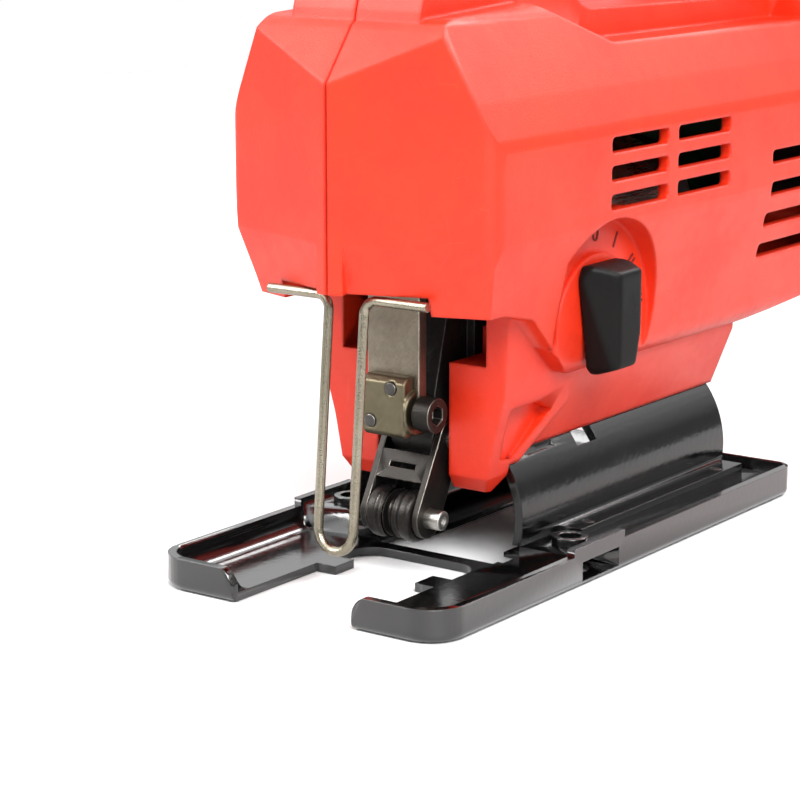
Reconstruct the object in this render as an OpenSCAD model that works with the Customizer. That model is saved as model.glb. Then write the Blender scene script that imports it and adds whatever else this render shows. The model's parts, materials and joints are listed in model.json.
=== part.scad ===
// Cordless top-handle jigsaw as an assembly of separate pieces.
// Working frame, in millimetres: Y = 0 is the front edge of the shoe and +Y runs to the
// battery, X = 0 is the parting plane of the housing, Z = 0 is the sole of the shoe.
// placed() moves everything so that the origin lies under the middle of the whole tool.

/* [Overall] */
// Length from the front of the shoe to the back of the battery
overall_l = 245; // [236:1:262]
// Width of the two closed housing shells
body_w = 72; // [66:1:76]
// Height of the handle above the sole
handle_top = 197; // [192:1:206]
// Wall of the plastic shells
wall = 2.8; // [2:0.2:3.4]

/* [Shoe] */
// Width of the shoe
shoe_w = 80; // [78:1:96]
// Length of the shoe
shoe_l = 160; // [157:1:185]
// Thickness of the pressed sheet
sheet = 2; // [1.5:0.1:2.4]
// Height of the turned-up edge above the sole
edge_h = 7.6; // [6:0.2:8.2]
// Height of the raised deck over the fence channel
deck_h = 7; // [6.4:0.2:7.4]
// Width of the gap between the toes
toe_gap_w = 33; // [28:1:36]
// Length of the gap between the toes
toe_gap_l = 50; // [46:1:51]
// Corner radius of the toes
toe_r = 9; // [6:1:14]
// Thread bore radius of the fence collars
collar_bore_r = 2.5; // [2:0.1:2.8]

/* [Bevel arch] */
// Outside radius of the half-cylinder that the body stands on
arch_r = 24.4; // [23:0.2:26]
// Thickness of the arch sheet
arch_t = 2.2; // [1.8:0.1:2.6]
// Height of the tilt axis above the sole
tilt_z = 12.5; // [12:0.1:14]
// Gap between the arch and the foot of the body
arch_gap = 0.35; // [0.3:0.05:0.6]

/* [Drive] */
// Height of the crank axis above the sole
crank_z = 96; // [94:1:98]
// Radius that the crank pin runs on, half the stroke
crank_r = 9; // [7:0.5:10]
// Height of the blade clamp above the lowest point of its stroke
clamp_up = 4; // [2:0.5:4]
// Teeth of the crank gear
gear_teeth = 46; // [40:1:46]
// Teeth of the armature pinion
pinion_teeth = 9; // [8:1:11]
// Module of the gear pair
gear_module = 0.8; // [0.7:0.05:0.8]
// Diameter of the motor can
motor_d = 38; // [34:1:40]
// Length of the motor can
motor_l = 54; // [46:1:60]
// Radial clearance of shafts in their bearings
running_gap = 0.04; // [0.02:0.01:0.08]

/* [Plunger and clamp] */
// Width of the flat plunger bar
plunger_w = 14.2; // [12:0.2:15]
// Thickness of the flat plunger bar
plunger_t = 3; // [2.4:0.2:3.6]
// Width of the blade clamp block
clamp_w = 11.4; // [10:0.2:12]
// Height of the blade clamp block
clamp_h = 13.9; // [12:0.1:15]
// Width of the blade slot
blade_slot = 1.8; // [1.4:0.1:2.2]
// Diameter of the clamp screw's head
screw_head_d = 8; // [7:0.5:8.5]

/* [Roller guide] */
// Outside diameter of the guide roller
roller_d = 12; // [10:0.5:13]
// Width of the guide roller
roller_w = 12.4; // [10:0.2:12.6]
// Diameter of the roller's pin
roller_pin_d = 4.6; // [4:0.1:5]
// Thickness of each ear of the fork
ear_t = 1.5; // [1.2:0.1:1.8]

/* [Wire guard] */
// Diameter of the guard wire
wire_d = 2.2; // [1.8:0.1:2.3]
// Distance between the guard's two legs
guard_w = 9.7; // [9:0.1:12]
// Length of the guard below its pivot
guard_l = 57; // [50:1:59]

/* [Controls] */
// Radius of the recess around the orbital selector
dial_r = 25.5; // [24:0.5:26.5]
// Depth of that recess below the side of the body
dial_depth = 7; // [5:0.5:8]
// Length of the selector lever
lever_l = 25.5; // [23:0.5:28]
// Travel of the trigger
trigger_travel = 6; // [5:0.5:7]

/* [Battery] */
// Width of the battery pack
pack_w = 74; // [70:1:78]
// Height of the battery pack
pack_h = 112; // [106:1:116]
// Diameter of one cell
cell_d = 18.3; // [18:0.1:18.4]

/* [Hidden] */
$fn = 64;
eps = 0.01;

// Fits and small clearances.
fit = 0.3;          // between pieces that move past each other
seat = 0.02;        // between a piece and the pocket it is pressed in
half_w = body_w / 2;
half_shoe = shoe_w / 2;

// Housing stations along Y and Z.
nose_y = 13.5;
nose_corner_y = 25.3;
skirt_z = 69;
cheek_z = 64.8;
cheek_x = 20;
ledge_z = 80;
body_top = 120;
body_back = 206;
foot_back = 152;
leg_front = 46;
leg_back = 54.6;
leg_in = 10;

// Handle.
grip_half = 17;
grip_skin = 1.4;

// Arch and shoe.
arch_front = 55;
arch_back = foot_back - 2;
deck_front = 54.9;
deck_back = 150;
window = [56, 72];
deck_t = 1.2;
channel_floor = 1.2;
nut_z = [43, 48.2];

// Plunger and drive line.
bar_front = 38.2;
bar_back = bar_front + plunger_t;
bar_bottom = 42.2;
guide_low = [69, 76];
guide_high = [116.5, 122.5];
bar_top = guide_high[1] + clamp_up + 1;
yoke_z = crank_z - crank_r + clamp_up;
gear_pitch_r = gear_module * gear_teeth / 2;
pinion_pitch_r = gear_module * pinion_teeth / 2;
centre_gap = 0.12;
motor_z = crank_z - gear_pitch_r - pinion_pitch_r - centre_gap;
pin_angle = -asin((crank_r - clamp_up) / crank_r);
pin_at = [crank_r * cos(pin_angle), crank_z + crank_r * sin(pin_angle)];
gear_y = [52, 58];
yoke_back = 47.4;
case_y = [60, 70];
crank_shaft_r = 4;
bearing_r = 9;
motor_y = 80;
arm_shaft_r = 2.5;

// Clamp.
clamp_front = 34.4;
clamp_back = 44.6;
clamp_bottom = 33.6;
screw_y = 38.6;
screw_z = 39.2;

// Fork.
roller_at = [41, 14.3];
pivot_at = [49.8, 31.2];
pivot_r = 2;
ear_out = roller_w / 2 + 0.3 + ear_t;

// Guard pivot.
guard_at = [21, 67.5];
guard_lean = 5;
guard_reach = 21.6;

// Selector.
dial_at = [75.5, 56];
shaft_r = 4;
dial_x = half_w - dial_depth;
boss_r = 17;
boss_h = 1.8;
lever_x = [dial_x + boss_h + fit, half_shoe - 0.6];

// Trigger, lock button and switch.
trigger_at = [78, 150];
trigger_top = handle_top - 23;
switch_z = [trigger_top + trigger_travel + 4, handle_top - 5.5];
lock_at = [68, 170];

// Battery.
pack_bottom = 52;
pack_front = body_back + 1;
pack_y = [pack_front, overall_l];
split_y = overall_l - 24;
rail_z = [66, 148];
rail_neck = 20;
rail_head = 24;

// ---------------------------------------------------------------- helpers

module placed() translate([0, -overall_l / 2, 0]) children();

// Extrusions whose outline is given as (y, z), (x, z) or (x, y) points.
module along_x(x0, x1) translate([x0, 0, 0]) rotate([90, 0, 90]) linear_extrude(x1 - x0) children();
module along_y(y0, y1) translate([0, y1, 0]) rotate([90, 0, 0]) linear_extrude(y1 - y0) children();
module box(x, y, z) translate([x[0], y[0], z[0]]) cube([x[1] - x[0], y[1] - y[0], z[1] - z[0]]);

// Round bars along each axis.
module bar_x(r, x0, x1, y, z) translate([x0, y, z]) rotate([0, 90, 0]) cylinder(r = r, h = x1 - x0);
module bar_y(r, y0, y1, x, z) translate([x, y0, z]) rotate([-90, 0, 0]) cylinder(r = r, h = y1 - y0);
module bar_z(r, z0, z1, x, y) translate([x, y, z0]) cylinder(r = r, h = z1 - z0);
module ring_y(r, bore, y0, y1, x, z) {
    difference() {
        bar_y(r, y0, y1, x, z);
        bar_y(bore, y0 - 1, y1 + 1, x, z);
    }
}

// Moves every side of a counter-clockwise outline inwards by d.
function normal(a, b) = let(v = b - a) [-v[1], v[0]] / norm(v);
function inset(p, d) = [
    for (i = [0 : len(p) - 1])
        let(
            a = p[(i + len(p) - 1) % len(p)],
            b = p[i],
            c = p[(i + 1) % len(p)],
            m = normal(a, b),
            n = normal(b, c)
        ) b + d * (m + n) / (1 + m * n)
];

// Replaces every corner of an outline by an arc of radius r, or less where a side is short.
function corner(a, b, c, r) =
    let(
        u = (a - b) / norm(a - b),
        v = (c - b) / norm(c - b),
        half = acos(u * v) / 2,
        cut = min(r / tan(half), norm(a - b) * 0.48, norm(c - b) * 0.48),
        rr = cut * tan(half),
        m = b + (u + v) / norm(u + v) * rr / sin(half),
        p = b + u * cut,
        q = b + v * cut,
        from = atan2(p[1] - m[1], p[0] - m[0]),
        turn = atan2(q[1] - m[1], q[0] - m[0]) - from,
        sweep = turn > 180 ? turn - 360 : (turn < -180 ? turn + 360 : turn),
        steps = max(1, round(abs(sweep) / 11))
    )
    [for (i = [0 : steps]) m + rr * [cos(from + sweep * i / steps), sin(from + sweep * i / steps)]];
function rounded(p, r) = [
    for (i = [0 : len(p) - 1])
        each corner(p[(i + len(p) - 1) % len(p)], p[i], p[(i + 1) % len(p)], is_list(r) ? r[i] : r)
];

// Flat link with two round ends, as (y, z) centres p and q.
module link(p, rp, q, rq) {
    v = q - p;
    s = norm(v);
    turn = atan2(v[1], v[0]);
    open = acos((rp - rq) / s);
    translate(p) circle(r = rp);
    translate(q) circle(r = rq);
    polygon([
        p + rp * [cos(turn + open), sin(turn + open)],
        q + rq * [cos(turn + open), sin(turn + open)],
        q + rq * [cos(turn - open), sin(turn - open)],
        p + rp * [cos(turn - open), sin(turn - open)],
    ]);
}

// Spur gear outline with straight-sided teeth.
module gear_outline(teeth, pitch_r, shift) {
    tip = pitch_r + gear_module * 0.85;
    root = pitch_r - gear_module * 1.1;
    step = 360 / teeth;
    polygon([
        for (i = [0 : teeth - 1])
            for (k = [[-0.31, root], [-0.13, tip], [0.13, tip], [0.31, root]])
                let(a = (i + k[0] + shift) * step) k[1] * [cos(a), sin(a)]
    ]);
}

// ---------------------------------------------------------------- housing

// Side outline of the wide body, counter-clockwise in (y, z).
body_side = [
    [nose_y - 2, cheek_z], [34, cheek_z], [47, 62], [57, 53.5], [66, 46],
    [foot_back, 45], [body_back - 8, 49], [body_back, 58],
    [body_back, body_top - 10], [body_back - 8, body_top], [86, body_top],
    [60, body_top + 10], [24, body_top + 8], [nose_y - 2, body_top - 8],
];
// Front outline of the wide body in (x, z).
body_front = [
    [29, 44], [half_w - 4.5, 60], [half_w - 2.6, skirt_z], [half_w, ledge_z],
    [half_w, body_top - 18], [half_w - 4, body_top - 9], [22, body_top + 11],
    [-22, body_top + 11], [-half_w + 4, body_top - 9], [-half_w, body_top - 18],
    [-half_w, ledge_z + 18], [-half_w + 2.4, ledge_z], [-half_w + 5.8, skirt_z], [-half_w + 8, 60], [-27, 44],
];
// Plan of the wide body in (x, y), with the wedge-shaped nose.
body_plan = [
    [0, nose_y], [half_w, nose_corner_y], [half_w, body_back - 18],
    [half_w - 5, body_back + 1], [-half_w + 5, body_back + 1],
    [-half_w, body_back - 18], [-half_w, nose_corner_y],
];
// Side outline of the handle loop and of the finger hole in it.
handle_side = [
    [22, body_top - 14], [body_back, body_top - 20], [body_back, 158], [body_back - 8, 174],
    [body_back - 26, handle_top - 11], [150, handle_top - 2], [96, handle_top],
    [62, handle_top - 4], [44, handle_top - 16], [32, 152], [24, 128],
];
finger_hole = [
    [90, 127], [172, 126], [182, 136], [180, 154], [166, handle_top - 27],
    [100, handle_top - 26], [84, handle_top - 32], [76, 150], [78, 136],
];
// Front outline of the handle in (x, z).
handle_front = [
    [grip_half, body_top - 30], [grip_half, handle_top - 9], [grip_half - 6, handle_top + 1],
    [6 - grip_half, handle_top + 1], [-grip_half, handle_top - 9], [-grip_half, body_top - 30],
];

// Slanting cut that leans each face of the nose back below the ledge, beside a straight rib.
chin_lean = 16;
chin_rib = 3.5;
module chin_cut(d) {
    turn = atan2(nose_corner_y - nose_y, half_w);
    for (s = [0, 1]) mirror([s, 0, 0])
        translate([0, nose_y, ledge_z]) rotate([0, 0, turn]) rotate([chin_lean, 0, 0])
            box([chin_rib / cos(turn) - d, half_w + 14], [-20, d], [-34, 0]);
}

module wide_body(d) {
    difference() {
        intersection() {
            along_x(-half_w, half_w) polygon(rounded(inset(body_side, d), 6 - d));
            along_y(0, overall_l) polygon(rounded(inset(body_front, d), 7 - d));
            linear_extrude(handle_top)
                polygon(rounded(inset(body_plan, d), [1, for (i = [1 : len(body_plan) - 1]) 5 - d]));
        }
        chin_cut(d);
    }
}

module handle_form(d) {
    intersection() {
        difference() {
            along_x(-half_w, half_w) polygon(rounded(inset(handle_side, d), 16 - d));
            along_x(-half_w - 1, half_w + 1) polygon(rounded(inset(finger_hole, -d), 12 + d));
        }
        along_y(0, overall_l) polygon(inset(handle_front, d));
    }
}

// Backing of the battery rail, behind the handle's rear post.
module mount_form(d) {
    along_y(body_back - 24 + d, body_back - d) polygon(inset([
        [28, body_top - 20], [28, 146], [22, 153], [-22, 153], [-28, 146], [-28, body_top - 20],
    ], d));
}

// Front legs and the foot behind them, solid, to be cut by the arch.
module leg_form() {
    intersection() {
        along_x(-27, 27) polygon([
            [leg_front, 24], [leg_front + 2, 20.6], [leg_front + 4.5, 20.2],
            [leg_back, 23.4], [75, 37.3], [72, 46], [62, 52], [60, 56], [leg_front, 66],
        ]);
        along_y(leg_front - 1, foot_back + 1) polygon([
            [18, 19], [20.4, 24], [22.4, 34], [25, 43], [26, 66],
            [-26, 66], [-25, 43], [-22.4, 34], [-20.4, 24], [-18, 19],
        ]);
    }
}

module foot_form() {
    leg_form();
    intersection() {
        along_x(-27, 27) polygon([
            [leg_back, 24], [foot_back, 24], [foot_back, 48], [70, 50], [60, 56], [leg_back, 60],
        ]);
        along_y(leg_back, foot_back + 1) polygon([
            [19.2, 24], [19.2, 28.4], [25, 43], [26, 66], [-26, 66], [-25, 43], [-19.2, 28.4], [-19.2, 24],
        ]);
    }
}

// One cooling slot with rounded corners, through the wall on the given side.
module slot(side, y, z) {
    x = side * (half_w - 3);
    along_x(x - 4, x + 4)
        polygon(rounded([[y[0], z[0]], [y[1], z[0]], [y[1], z[1]], [y[0], z[1]]], slot_r));
}
slot_r = 1.2;

module vents(side) {
    for (row = [0 : 2], col = [0 : 1])
        slot(side, [72.3 + col * 30, 98 + col * 30], [83.4 + row * 6.5, 87.1 + row * 6.5]);
    for (row = [0 : 3]) slot(side, [150, 182], [62 + row * 8, 65.6 + row * 8]);
}

// Screw bosses stand on the parting plane at these (y, z) places.
boss_at = [[31, 106], [46, 168], [190, 168], [196, 66], [126, handle_top - 12], [158, 54]];
screw_r = 1.6;
screw_head_r = 3.2;
head_x = -13;

module bosses(x0, x1) for (p = boss_at) bar_x(3.6, x0, x1, p[0], p[1]);

seam_w = 0.7;
seam_depth = 1.1;
module shells() {
    difference() {
        union() {
            difference() {
                union() {
                    wide_body(0);
                    handle_form(0);
                    mount_form(0);
                }
                wide_body(wall);
                handle_form(wall);
                mount_form(wall);
            }
            foot_form();
            // Floor of the nose, and the cheeks beside it where the guard wire ends.
            intersection() {
                wide_body(0);
                box([-cheek_x - wall, cheek_x + wall], [0, 32], [cheek_z, skirt_z + wall]);
            }
            // Dial pocket floor and its rim on the lever side.
            intersection() {
                wide_body(0);
                bar_x(dial_r + wall, dial_x - wall, half_w, dial_at[0], dial_at[1]);
            }
        }
        // Nose opening around the plunger, and the space between the legs.
        box([-cheek_x, cheek_x], [0, 59.5], [50, skirt_z]);
        box([-cheek_x, cheek_x], [29.5, 59.5], [skirt_z - 1, skirt_z + wall + 1]);
        box([-leg_in, leg_in], [leg_front - 1, leg_back + eps], [10, 70]);
        // Room for the gear case's tongue and the saddle's screw.
        box([-leg_in, leg_in], [leg_back - 1, 75], [36, 66]);
        bar_z(3 + fit, 20, 60, 0, bevel_y);
        box([-6 - seat, 6 + seat], [bevel_y - 6 - seat, bevel_y + 6 + seat], nut_z);
        // Pocket in each gusset.
        for (s = [-1, 1]) along_x(s * 24 - 4.2, s * 24 + 4.2) polygon(rounded([
            [50, 40], [61.8, 40.3], [69.4, 36.7], [55.5, 27.2], [50, 28],
        ], 0.8));
        // Shallow groove along the parting line.
        difference() {
            box([-seam_w / 2, seam_w / 2], [0, overall_l], [20, handle_top + 5]);
            wide_body(seam_depth);
            handle_form(seam_depth);
            mount_form(seam_depth);
            foot_form();
        }
        // Seat on the bevel arch.
        bar_y(arch_r + arch_gap, leg_back, foot_back + 1, 0, tilt_z);
        // Recess of the orbital selector.
        intersection() {
            difference() {
                bar_x(dial_r, dial_x, half_w + 1, dial_at[0], dial_at[1]);
                bar_x(boss_r, dial_x - 1, dial_x + boss_h, dial_at[0], dial_at[1]);
            }
            box([0, half_w + 2], [57, 110], [43, 90]);
        }
        bar_x(shaft_r + running_gap, 0, half_w, dial_at[0], dial_at[1]);
        vents(1);
        vents(-1);
        // Holes for the guard wire's ends.
        bar_x(wire_d / 2 + running_gap, -guard_reach - 0.6, guard_reach + 0.6, guard_at[0], guard_at[1]);
        // Lamp window under the nose.
        box([-5.2, 5.2], [22.8, 27.2], [skirt_z - 3, skirt_z + wall + 1]);
        // Trigger and lock button windows in the handle.
        box([-6.4, 6.4], [trigger_at[0] - 4, trigger_at[0] + 38],
            [trigger_at[1] + 4, handle_top - 22]);
        bar_x(5.7 + fit, -half_w, half_w, lock_at[0], lock_at[1]);
        // Battery rail seat in the back wall.
        box([-rail_head - seat, rail_head + seat],
            [body_back - 4.2, body_back + 2], [rail_z[0] - 2 - seat, rail_z[1] + seat]);
    }
}

module boss_posts() {
    intersection() {
        bosses(-half_w, half_w);
        union() {
            wide_body(eps);
            handle_form(eps);
            mount_form(eps);
        }
    }
}

module housing_left() {
    color([0.93, 0.24, 0.18]) difference() {
        intersection() {
            union() {
                shells();
                boss_posts();
            }
            box([0, half_w + 5], [0, overall_l], [0, handle_top + 5]);
        }
        for (p = boss_at) bar_x(screw_r + seat, -1, 10, p[0], p[1]);
    }
}

module housing_right() {
    color([0.93, 0.24, 0.18]) difference() {
        intersection() {
            union() {
                shells();
                boss_posts();
            }
            box([-half_w - 5, 0], [0, overall_l], [0, handle_top + 5]);
        }
        for (p = boss_at) {
            bar_x(screw_r + seat, head_x - 1, 1, p[0], p[1]);
            bar_x(screw_head_r + fit, -half_w - 5, head_x, p[0], p[1]);
        }
    }
}

module housing_screws() {
    color([0.35, 0.35, 0.37]) for (p = boss_at) {
        difference() {
            union() {
                bar_x(screw_r, head_x - eps, 9.5, p[0], p[1]);
                bar_x(screw_head_r, head_x - 2.4, head_x, p[0], p[1]);
            }
            bar_x(1.2, head_x - 3, head_x - 1, p[0], p[1], $fn = 6);
        }
    }
}

// Soft skin around the top bar of the handle.
grip_span = [98, 172];
module grip_overmould() {
    color([0.10, 0.10, 0.11]) difference() {
        intersection() {
            handle_form(-grip_skin);
            box([-30, 30], grip_span, [handle_top - 40, handle_top + 10]);
        }
        intersection() {
            along_x(-grip_half, grip_half) polygon(rounded(handle_side, 16));
            along_y(0, overall_l) polygon(handle_front);
        }
    }
}

// ---------------------------------------------------------------- gear case and guides

module gear_case() {
    color([0.68, 0.69, 0.70]) difference() {
        union() {
            // Plate behind the gear.
            along_y(case_y[0], case_y[1]) link([0, crank_z], 21, [0, motor_z], 17);
            // Upper and lower arms reaching over and under the gear.
            box([-12, 12], [bar_front - 3.4, case_y[0] + 1], [guide_low[0], guide_low[1]]);
            box([-12, 12], [bar_front - 3.4, case_y[0] + 1], [guide_high[0], guide_high[1]]);
            box([-8, 8], [case_y[0] - 1, case_y[1] - 1], [40, motor_z - 10]);
            // Tongue that carries the fork's pivot.
            along_x(-5.9, 5.9) polygon([
                [pivot_at[0] - 3.6, pivot_at[1]], [pivot_at[0] + 3.6, pivot_at[1]],
                [pivot_at[0] + 3.6, 38], [57, 39], [66, 41], [66, guide_low[0] + 2],
                [58, guide_low[0] + 2], [51, 60], [pivot_at[0] - 3.6, 42],
            ]);
            bar_x(4.4, -5.9, 5.9, pivot_at[0], pivot_at[1]);
        }
        // Guide pockets.
        box([-10 - seat, 10 + seat], [bar_front - 2 - seat, bar_back + 2 + seat],
            [guide_low[0] - 1, guide_low[1] + 1]);
        box([-10 - seat, 10 + seat], [bar_front - 2 - seat, bar_back + 2 + seat],
            [guide_high[0] - 1, guide_high[1] + 1]);
        // Bearing seat, pinion hole, pivot bore.
        bar_y(bearing_r + seat, case_y[0] - 1, case_y[1] - 1.5, 0, crank_z);
        bar_y(bearing_r - 2, case_y[0] - 1, case_y[1] + 1, 0, crank_z);
        bar_y(pinion_pitch_r + 2.4, gear_y[0] - 1, case_y[1] + 1, 0, motor_z);
        bar_x(pivot_r + seat, -7, 7, pivot_at[0], pivot_at[1]);
    }
}

module guide_block(z) {
    difference() {
        box([-10, 10], [bar_front - 2, bar_back + 2], z);
        box([-plunger_w / 2 - running_gap, plunger_w / 2 + running_gap],
            [bar_front - running_gap, bar_back + running_gap], [z[0] - 1, z[1] + 1]);
    }
}
module lower_guide() color([0.72, 0.56, 0.32]) guide_block(guide_low);
module upper_guide() color([0.72, 0.56, 0.32]) guide_block(guide_high);

module plunger_seal() {
    color([0.12, 0.12, 0.12]) difference() {
        box([-9.4, 9.4], [bar_front - 1.8, bar_back + 1.8], [guide_low[0] - 2.2, guide_low[0]]);
        box([-plunger_w / 2 - fit, plunger_w / 2 + fit],
            [bar_front - fit, bar_back + fit], [60, 75]);
    }
}

module gear_bearing() {
    color([0.75, 0.76, 0.78])
        ring_y(bearing_r, crank_shaft_r + running_gap, case_y[0], case_y[1] - 1.5, 0, crank_z);
}

// ---------------------------------------------------------------- motor

module motor_can() {
    color([0.55, 0.56, 0.58]) difference() {
        bar_y(motor_d / 2, motor_y, motor_y + motor_l, 0, motor_z);
        bar_y(motor_d / 2 - 2, motor_y + 2, motor_y + motor_l + 1, 0, motor_z);
        bar_y(8 + seat, motor_y - 1, motor_y + 3, 0, motor_z);
        for (a = [0 : 60 : 300])
            bar_y(2, motor_y - 1, motor_y + 3, 12.5 * cos(a), motor_z + 12.5 * sin(a));
    }
}

module motor_end_cap() {
    y = motor_y + motor_l;
    color([0.14, 0.14, 0.15]) difference() {
        bar_y(motor_d / 2, y, y + 6, 0, motor_z);
        bar_y(6.5 + seat, y - 1, y + 4.5, 0, motor_z);
        bar_y(arm_shaft_r + 0.6, y, y + 7, 0, motor_z);
    }
}

module motor_front_bearing() {
    color([0.75, 0.76, 0.78])
        ring_y(8, arm_shaft_r + running_gap, motor_y - 3, motor_y + 2, 0, motor_z);
}

module motor_rear_bearing() {
    y = motor_y + motor_l;
    color([0.75, 0.76, 0.78])
        ring_y(6.5, arm_shaft_r + running_gap, y + 0.3, y + 4.5, 0, motor_z);
}

commutator_r = 6.5;
commutator_y = motor_y + motor_l - 13;
module motor_brushes() {
    reach = (motor_d / 2 - 2.2 - commutator_r - 1.1) / 2;
    middle = commutator_r + 1.1 + reach;
    color([0.25, 0.24, 0.24]) for (s = [-1, 1])
        box([s * middle - reach, s * middle + reach],
            [commutator_y + 2, commutator_y + 8], [motor_z - 2.5, motor_z + 2.5]);
}

module armature_shaft() {
    color([0.74, 0.74, 0.75])
        bar_y(arm_shaft_r, gear_y[0] + 0.5, motor_y + motor_l + 5, 0, motor_z);
}

module armature_core() {
    core_y = [motor_y + 9, commutator_y - 3];
    color([0.62, 0.36, 0.20]) difference() {
        union() {
            bar_y(motor_d / 2 - 5, core_y[0], core_y[1], 0, motor_z);
            bar_y(9.5, core_y[0] - 3.5, core_y[1] + 2, 0, motor_z);
        }
        for (a = [0 : 36 : 324])
            translate([0, 0, motor_z]) rotate([0, a, 0])
                box([motor_d / 2 - 9, motor_d / 2], [core_y[0] - 1, core_y[1] + 1], [-0.9, 0.9]);
        bar_y(arm_shaft_r + seat, core_y[0] - 5, core_y[1] + 5, 0, motor_z);
    }
}

module commutator() {
    color([0.72, 0.45, 0.24])
        ring_y(commutator_r, arm_shaft_r + seat, commutator_y, commutator_y + 10, 0, motor_z);
}

// Fan between the gear case and the motor.
module fan() {
    blades = 10;
    fan_r = 13;
    y = [case_y[1] + 0.8, motor_y - 3.5];
    color([0.16, 0.16, 0.17]) difference() {
        union() {
            bar_y(5.4, y[0], y[1], 0, motor_z);
            bar_y(fan_r, y[1] - 1, y[1], 0, motor_z);
            for (i = [0 : blades - 1])
                translate([0, 0, motor_z]) rotate([0, i * 360 / blades, 0])
                    box([4, fan_r - 0.4], [y[0], y[1] - 0.5], [-0.6, 0.6]);
        }
        bar_y(arm_shaft_r + seat, y[0] - 1, y[1] + 1, 0, motor_z);
    }
}

module pinion() {
    color([0.70, 0.70, 0.72]) difference() {
        translate([0, gear_y[1] + 0.6, motor_z]) rotate([90, 0, 0])
            linear_extrude(gear_y[1] - gear_y[0] + 0.4)
                gear_outline(pinion_teeth, pinion_pitch_r, pinion_teeth / 4 + 0.5);
        bar_y(arm_shaft_r + seat, gear_y[0] - 1, gear_y[1] + 2, 0, motor_z);
    }
}

// ---------------------------------------------------------------- crank

module crank_gear() {
    color([0.66, 0.66, 0.68]) difference() {
        translate([0, gear_y[1], crank_z]) rotate([90, 0, 0])
            linear_extrude(gear_y[1] - gear_y[0])
                gear_outline(gear_teeth, gear_pitch_r, -gear_teeth / 4);
        bar_y(crank_shaft_r + seat, gear_y[0] - 1, gear_y[1] + 1, 0, crank_z);
        bar_y(2.5 + seat, gear_y[0] - 1, gear_y[1] + 1, pin_at[0], pin_at[1]);
        for (a = [120, 180, 240])
            bar_y(2.6, gear_y[0] - 1, gear_y[1] + 1,
                11 * cos(a + pin_angle), crank_z + 11 * sin(a + pin_angle));
    }
}

module crank_shaft() {
    color([0.74, 0.74, 0.75])
        bar_y(crank_shaft_r, gear_y[0] + 0.5, case_y[1] - 0.6, 0, crank_z);
}

// The pin stops just short of the yoke, whose straight travel it would drive.
module crank_pin() {
    color([0.78, 0.78, 0.80]) {
        bar_y(3.4, yoke_back + 0.4, gear_y[0], pin_at[0], pin_at[1]);
        bar_y(2.5, gear_y[0] - eps, gear_y[1], pin_at[0], pin_at[1]);
    }
}

module counterweight() {
    color([0.45, 0.45, 0.47]) along_y(gear_y[0] - 3, gear_y[0])
        translate([0, crank_z]) rotate(pin_angle) difference() {
            circle(r = 16);
            circle(r = 6);
            translate([-4, -20]) square([30, 40]);
            for (a = [120, 180, 240]) translate([11 * cos(a), 11 * sin(a)]) circle(r = 1.4);
        }
}

// ---------------------------------------------------------------- plunger and clamp

module plunger_bar() {
    color([0.58, 0.53, 0.48]) difference() {
        box([-plunger_w / 2, plunger_w / 2], [bar_front, bar_back], [bar_bottom, bar_top]);
        bar_y(1.5 + seat, bar_front - 1, bar_back + 1, 2, 44.9);
    }
}

module plunger_yoke() {
    color([0.62, 0.62, 0.64]) difference() {
        box([-crank_r - 6, crank_r + 6], [bar_back, yoke_back], [yoke_z - 6.5, yoke_z + 6.5]);
        box([-crank_r - 3.7, crank_r + 3.7], [bar_back + 1.5, yoke_back + 1],
            [yoke_z - 3.7, yoke_z + 3.7]);
    }
}

module clamp_block() {
    top = clamp_bottom + clamp_h;
    color([0.56, 0.53, 0.42]) difference() {
        union() {
            along_x(-clamp_w / 2, clamp_w / 2) polygon([
                [clamp_front + 1, clamp_bottom], [clamp_back, clamp_bottom], [clamp_back, bar_bottom - 0.2],
                [bar_front, bar_bottom - 0.2], [bar_front, top], [clamp_front + 1.4, top],
                [clamp_front, top - 1.4], [clamp_front, clamp_bottom + 1],
            ]);
            bar_x(5.1, clamp_w / 2 - eps, clamp_w / 2 + 0.9, screw_y, screw_z);
        }
        // Room for the foot of the plunger bar.
        box([-10, 10], [bar_front, 50], [bar_bottom - 0.2, top + 5]);
        // Blade slot, open below.
        box([-blade_slot / 2, blade_slot / 2], [clamp_front + 1.4, clamp_back - 1.2],
            [clamp_bottom - 1, bar_bottom + 3]);
        bar_x(2.5 + running_gap, 0, clamp_w, screw_y, screw_z);
        bar_y(1.5 + seat, clamp_front - 1, bar_front + 1, 2, 44.9);
        bar_y(1.5 + seat, clamp_front - 1, 41, -3.7, 36.9);
    }
}

module clamp_pins() {
    color([0.45, 0.44, 0.40]) {
        bar_y(1.5, clamp_front - 0.3, bar_back, 2, 44.9);
        bar_y(1.5, clamp_front - 0.3, 41, -3.7, 36.9);
    }
}

module clamp_screw() {
    color([0.08, 0.08, 0.09]) difference() {
        union() {
            bar_x(2.5, 1.2, 8, screw_y, screw_z);
            bar_x(screw_head_d / 2, plunger_w / 2 + fit, 12, screw_y, screw_z);
        }
        bar_x(2.3, 9.2, 13, screw_y, screw_z, $fn = 6);
    }
}

// ---------------------------------------------------------------- roller guide

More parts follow.
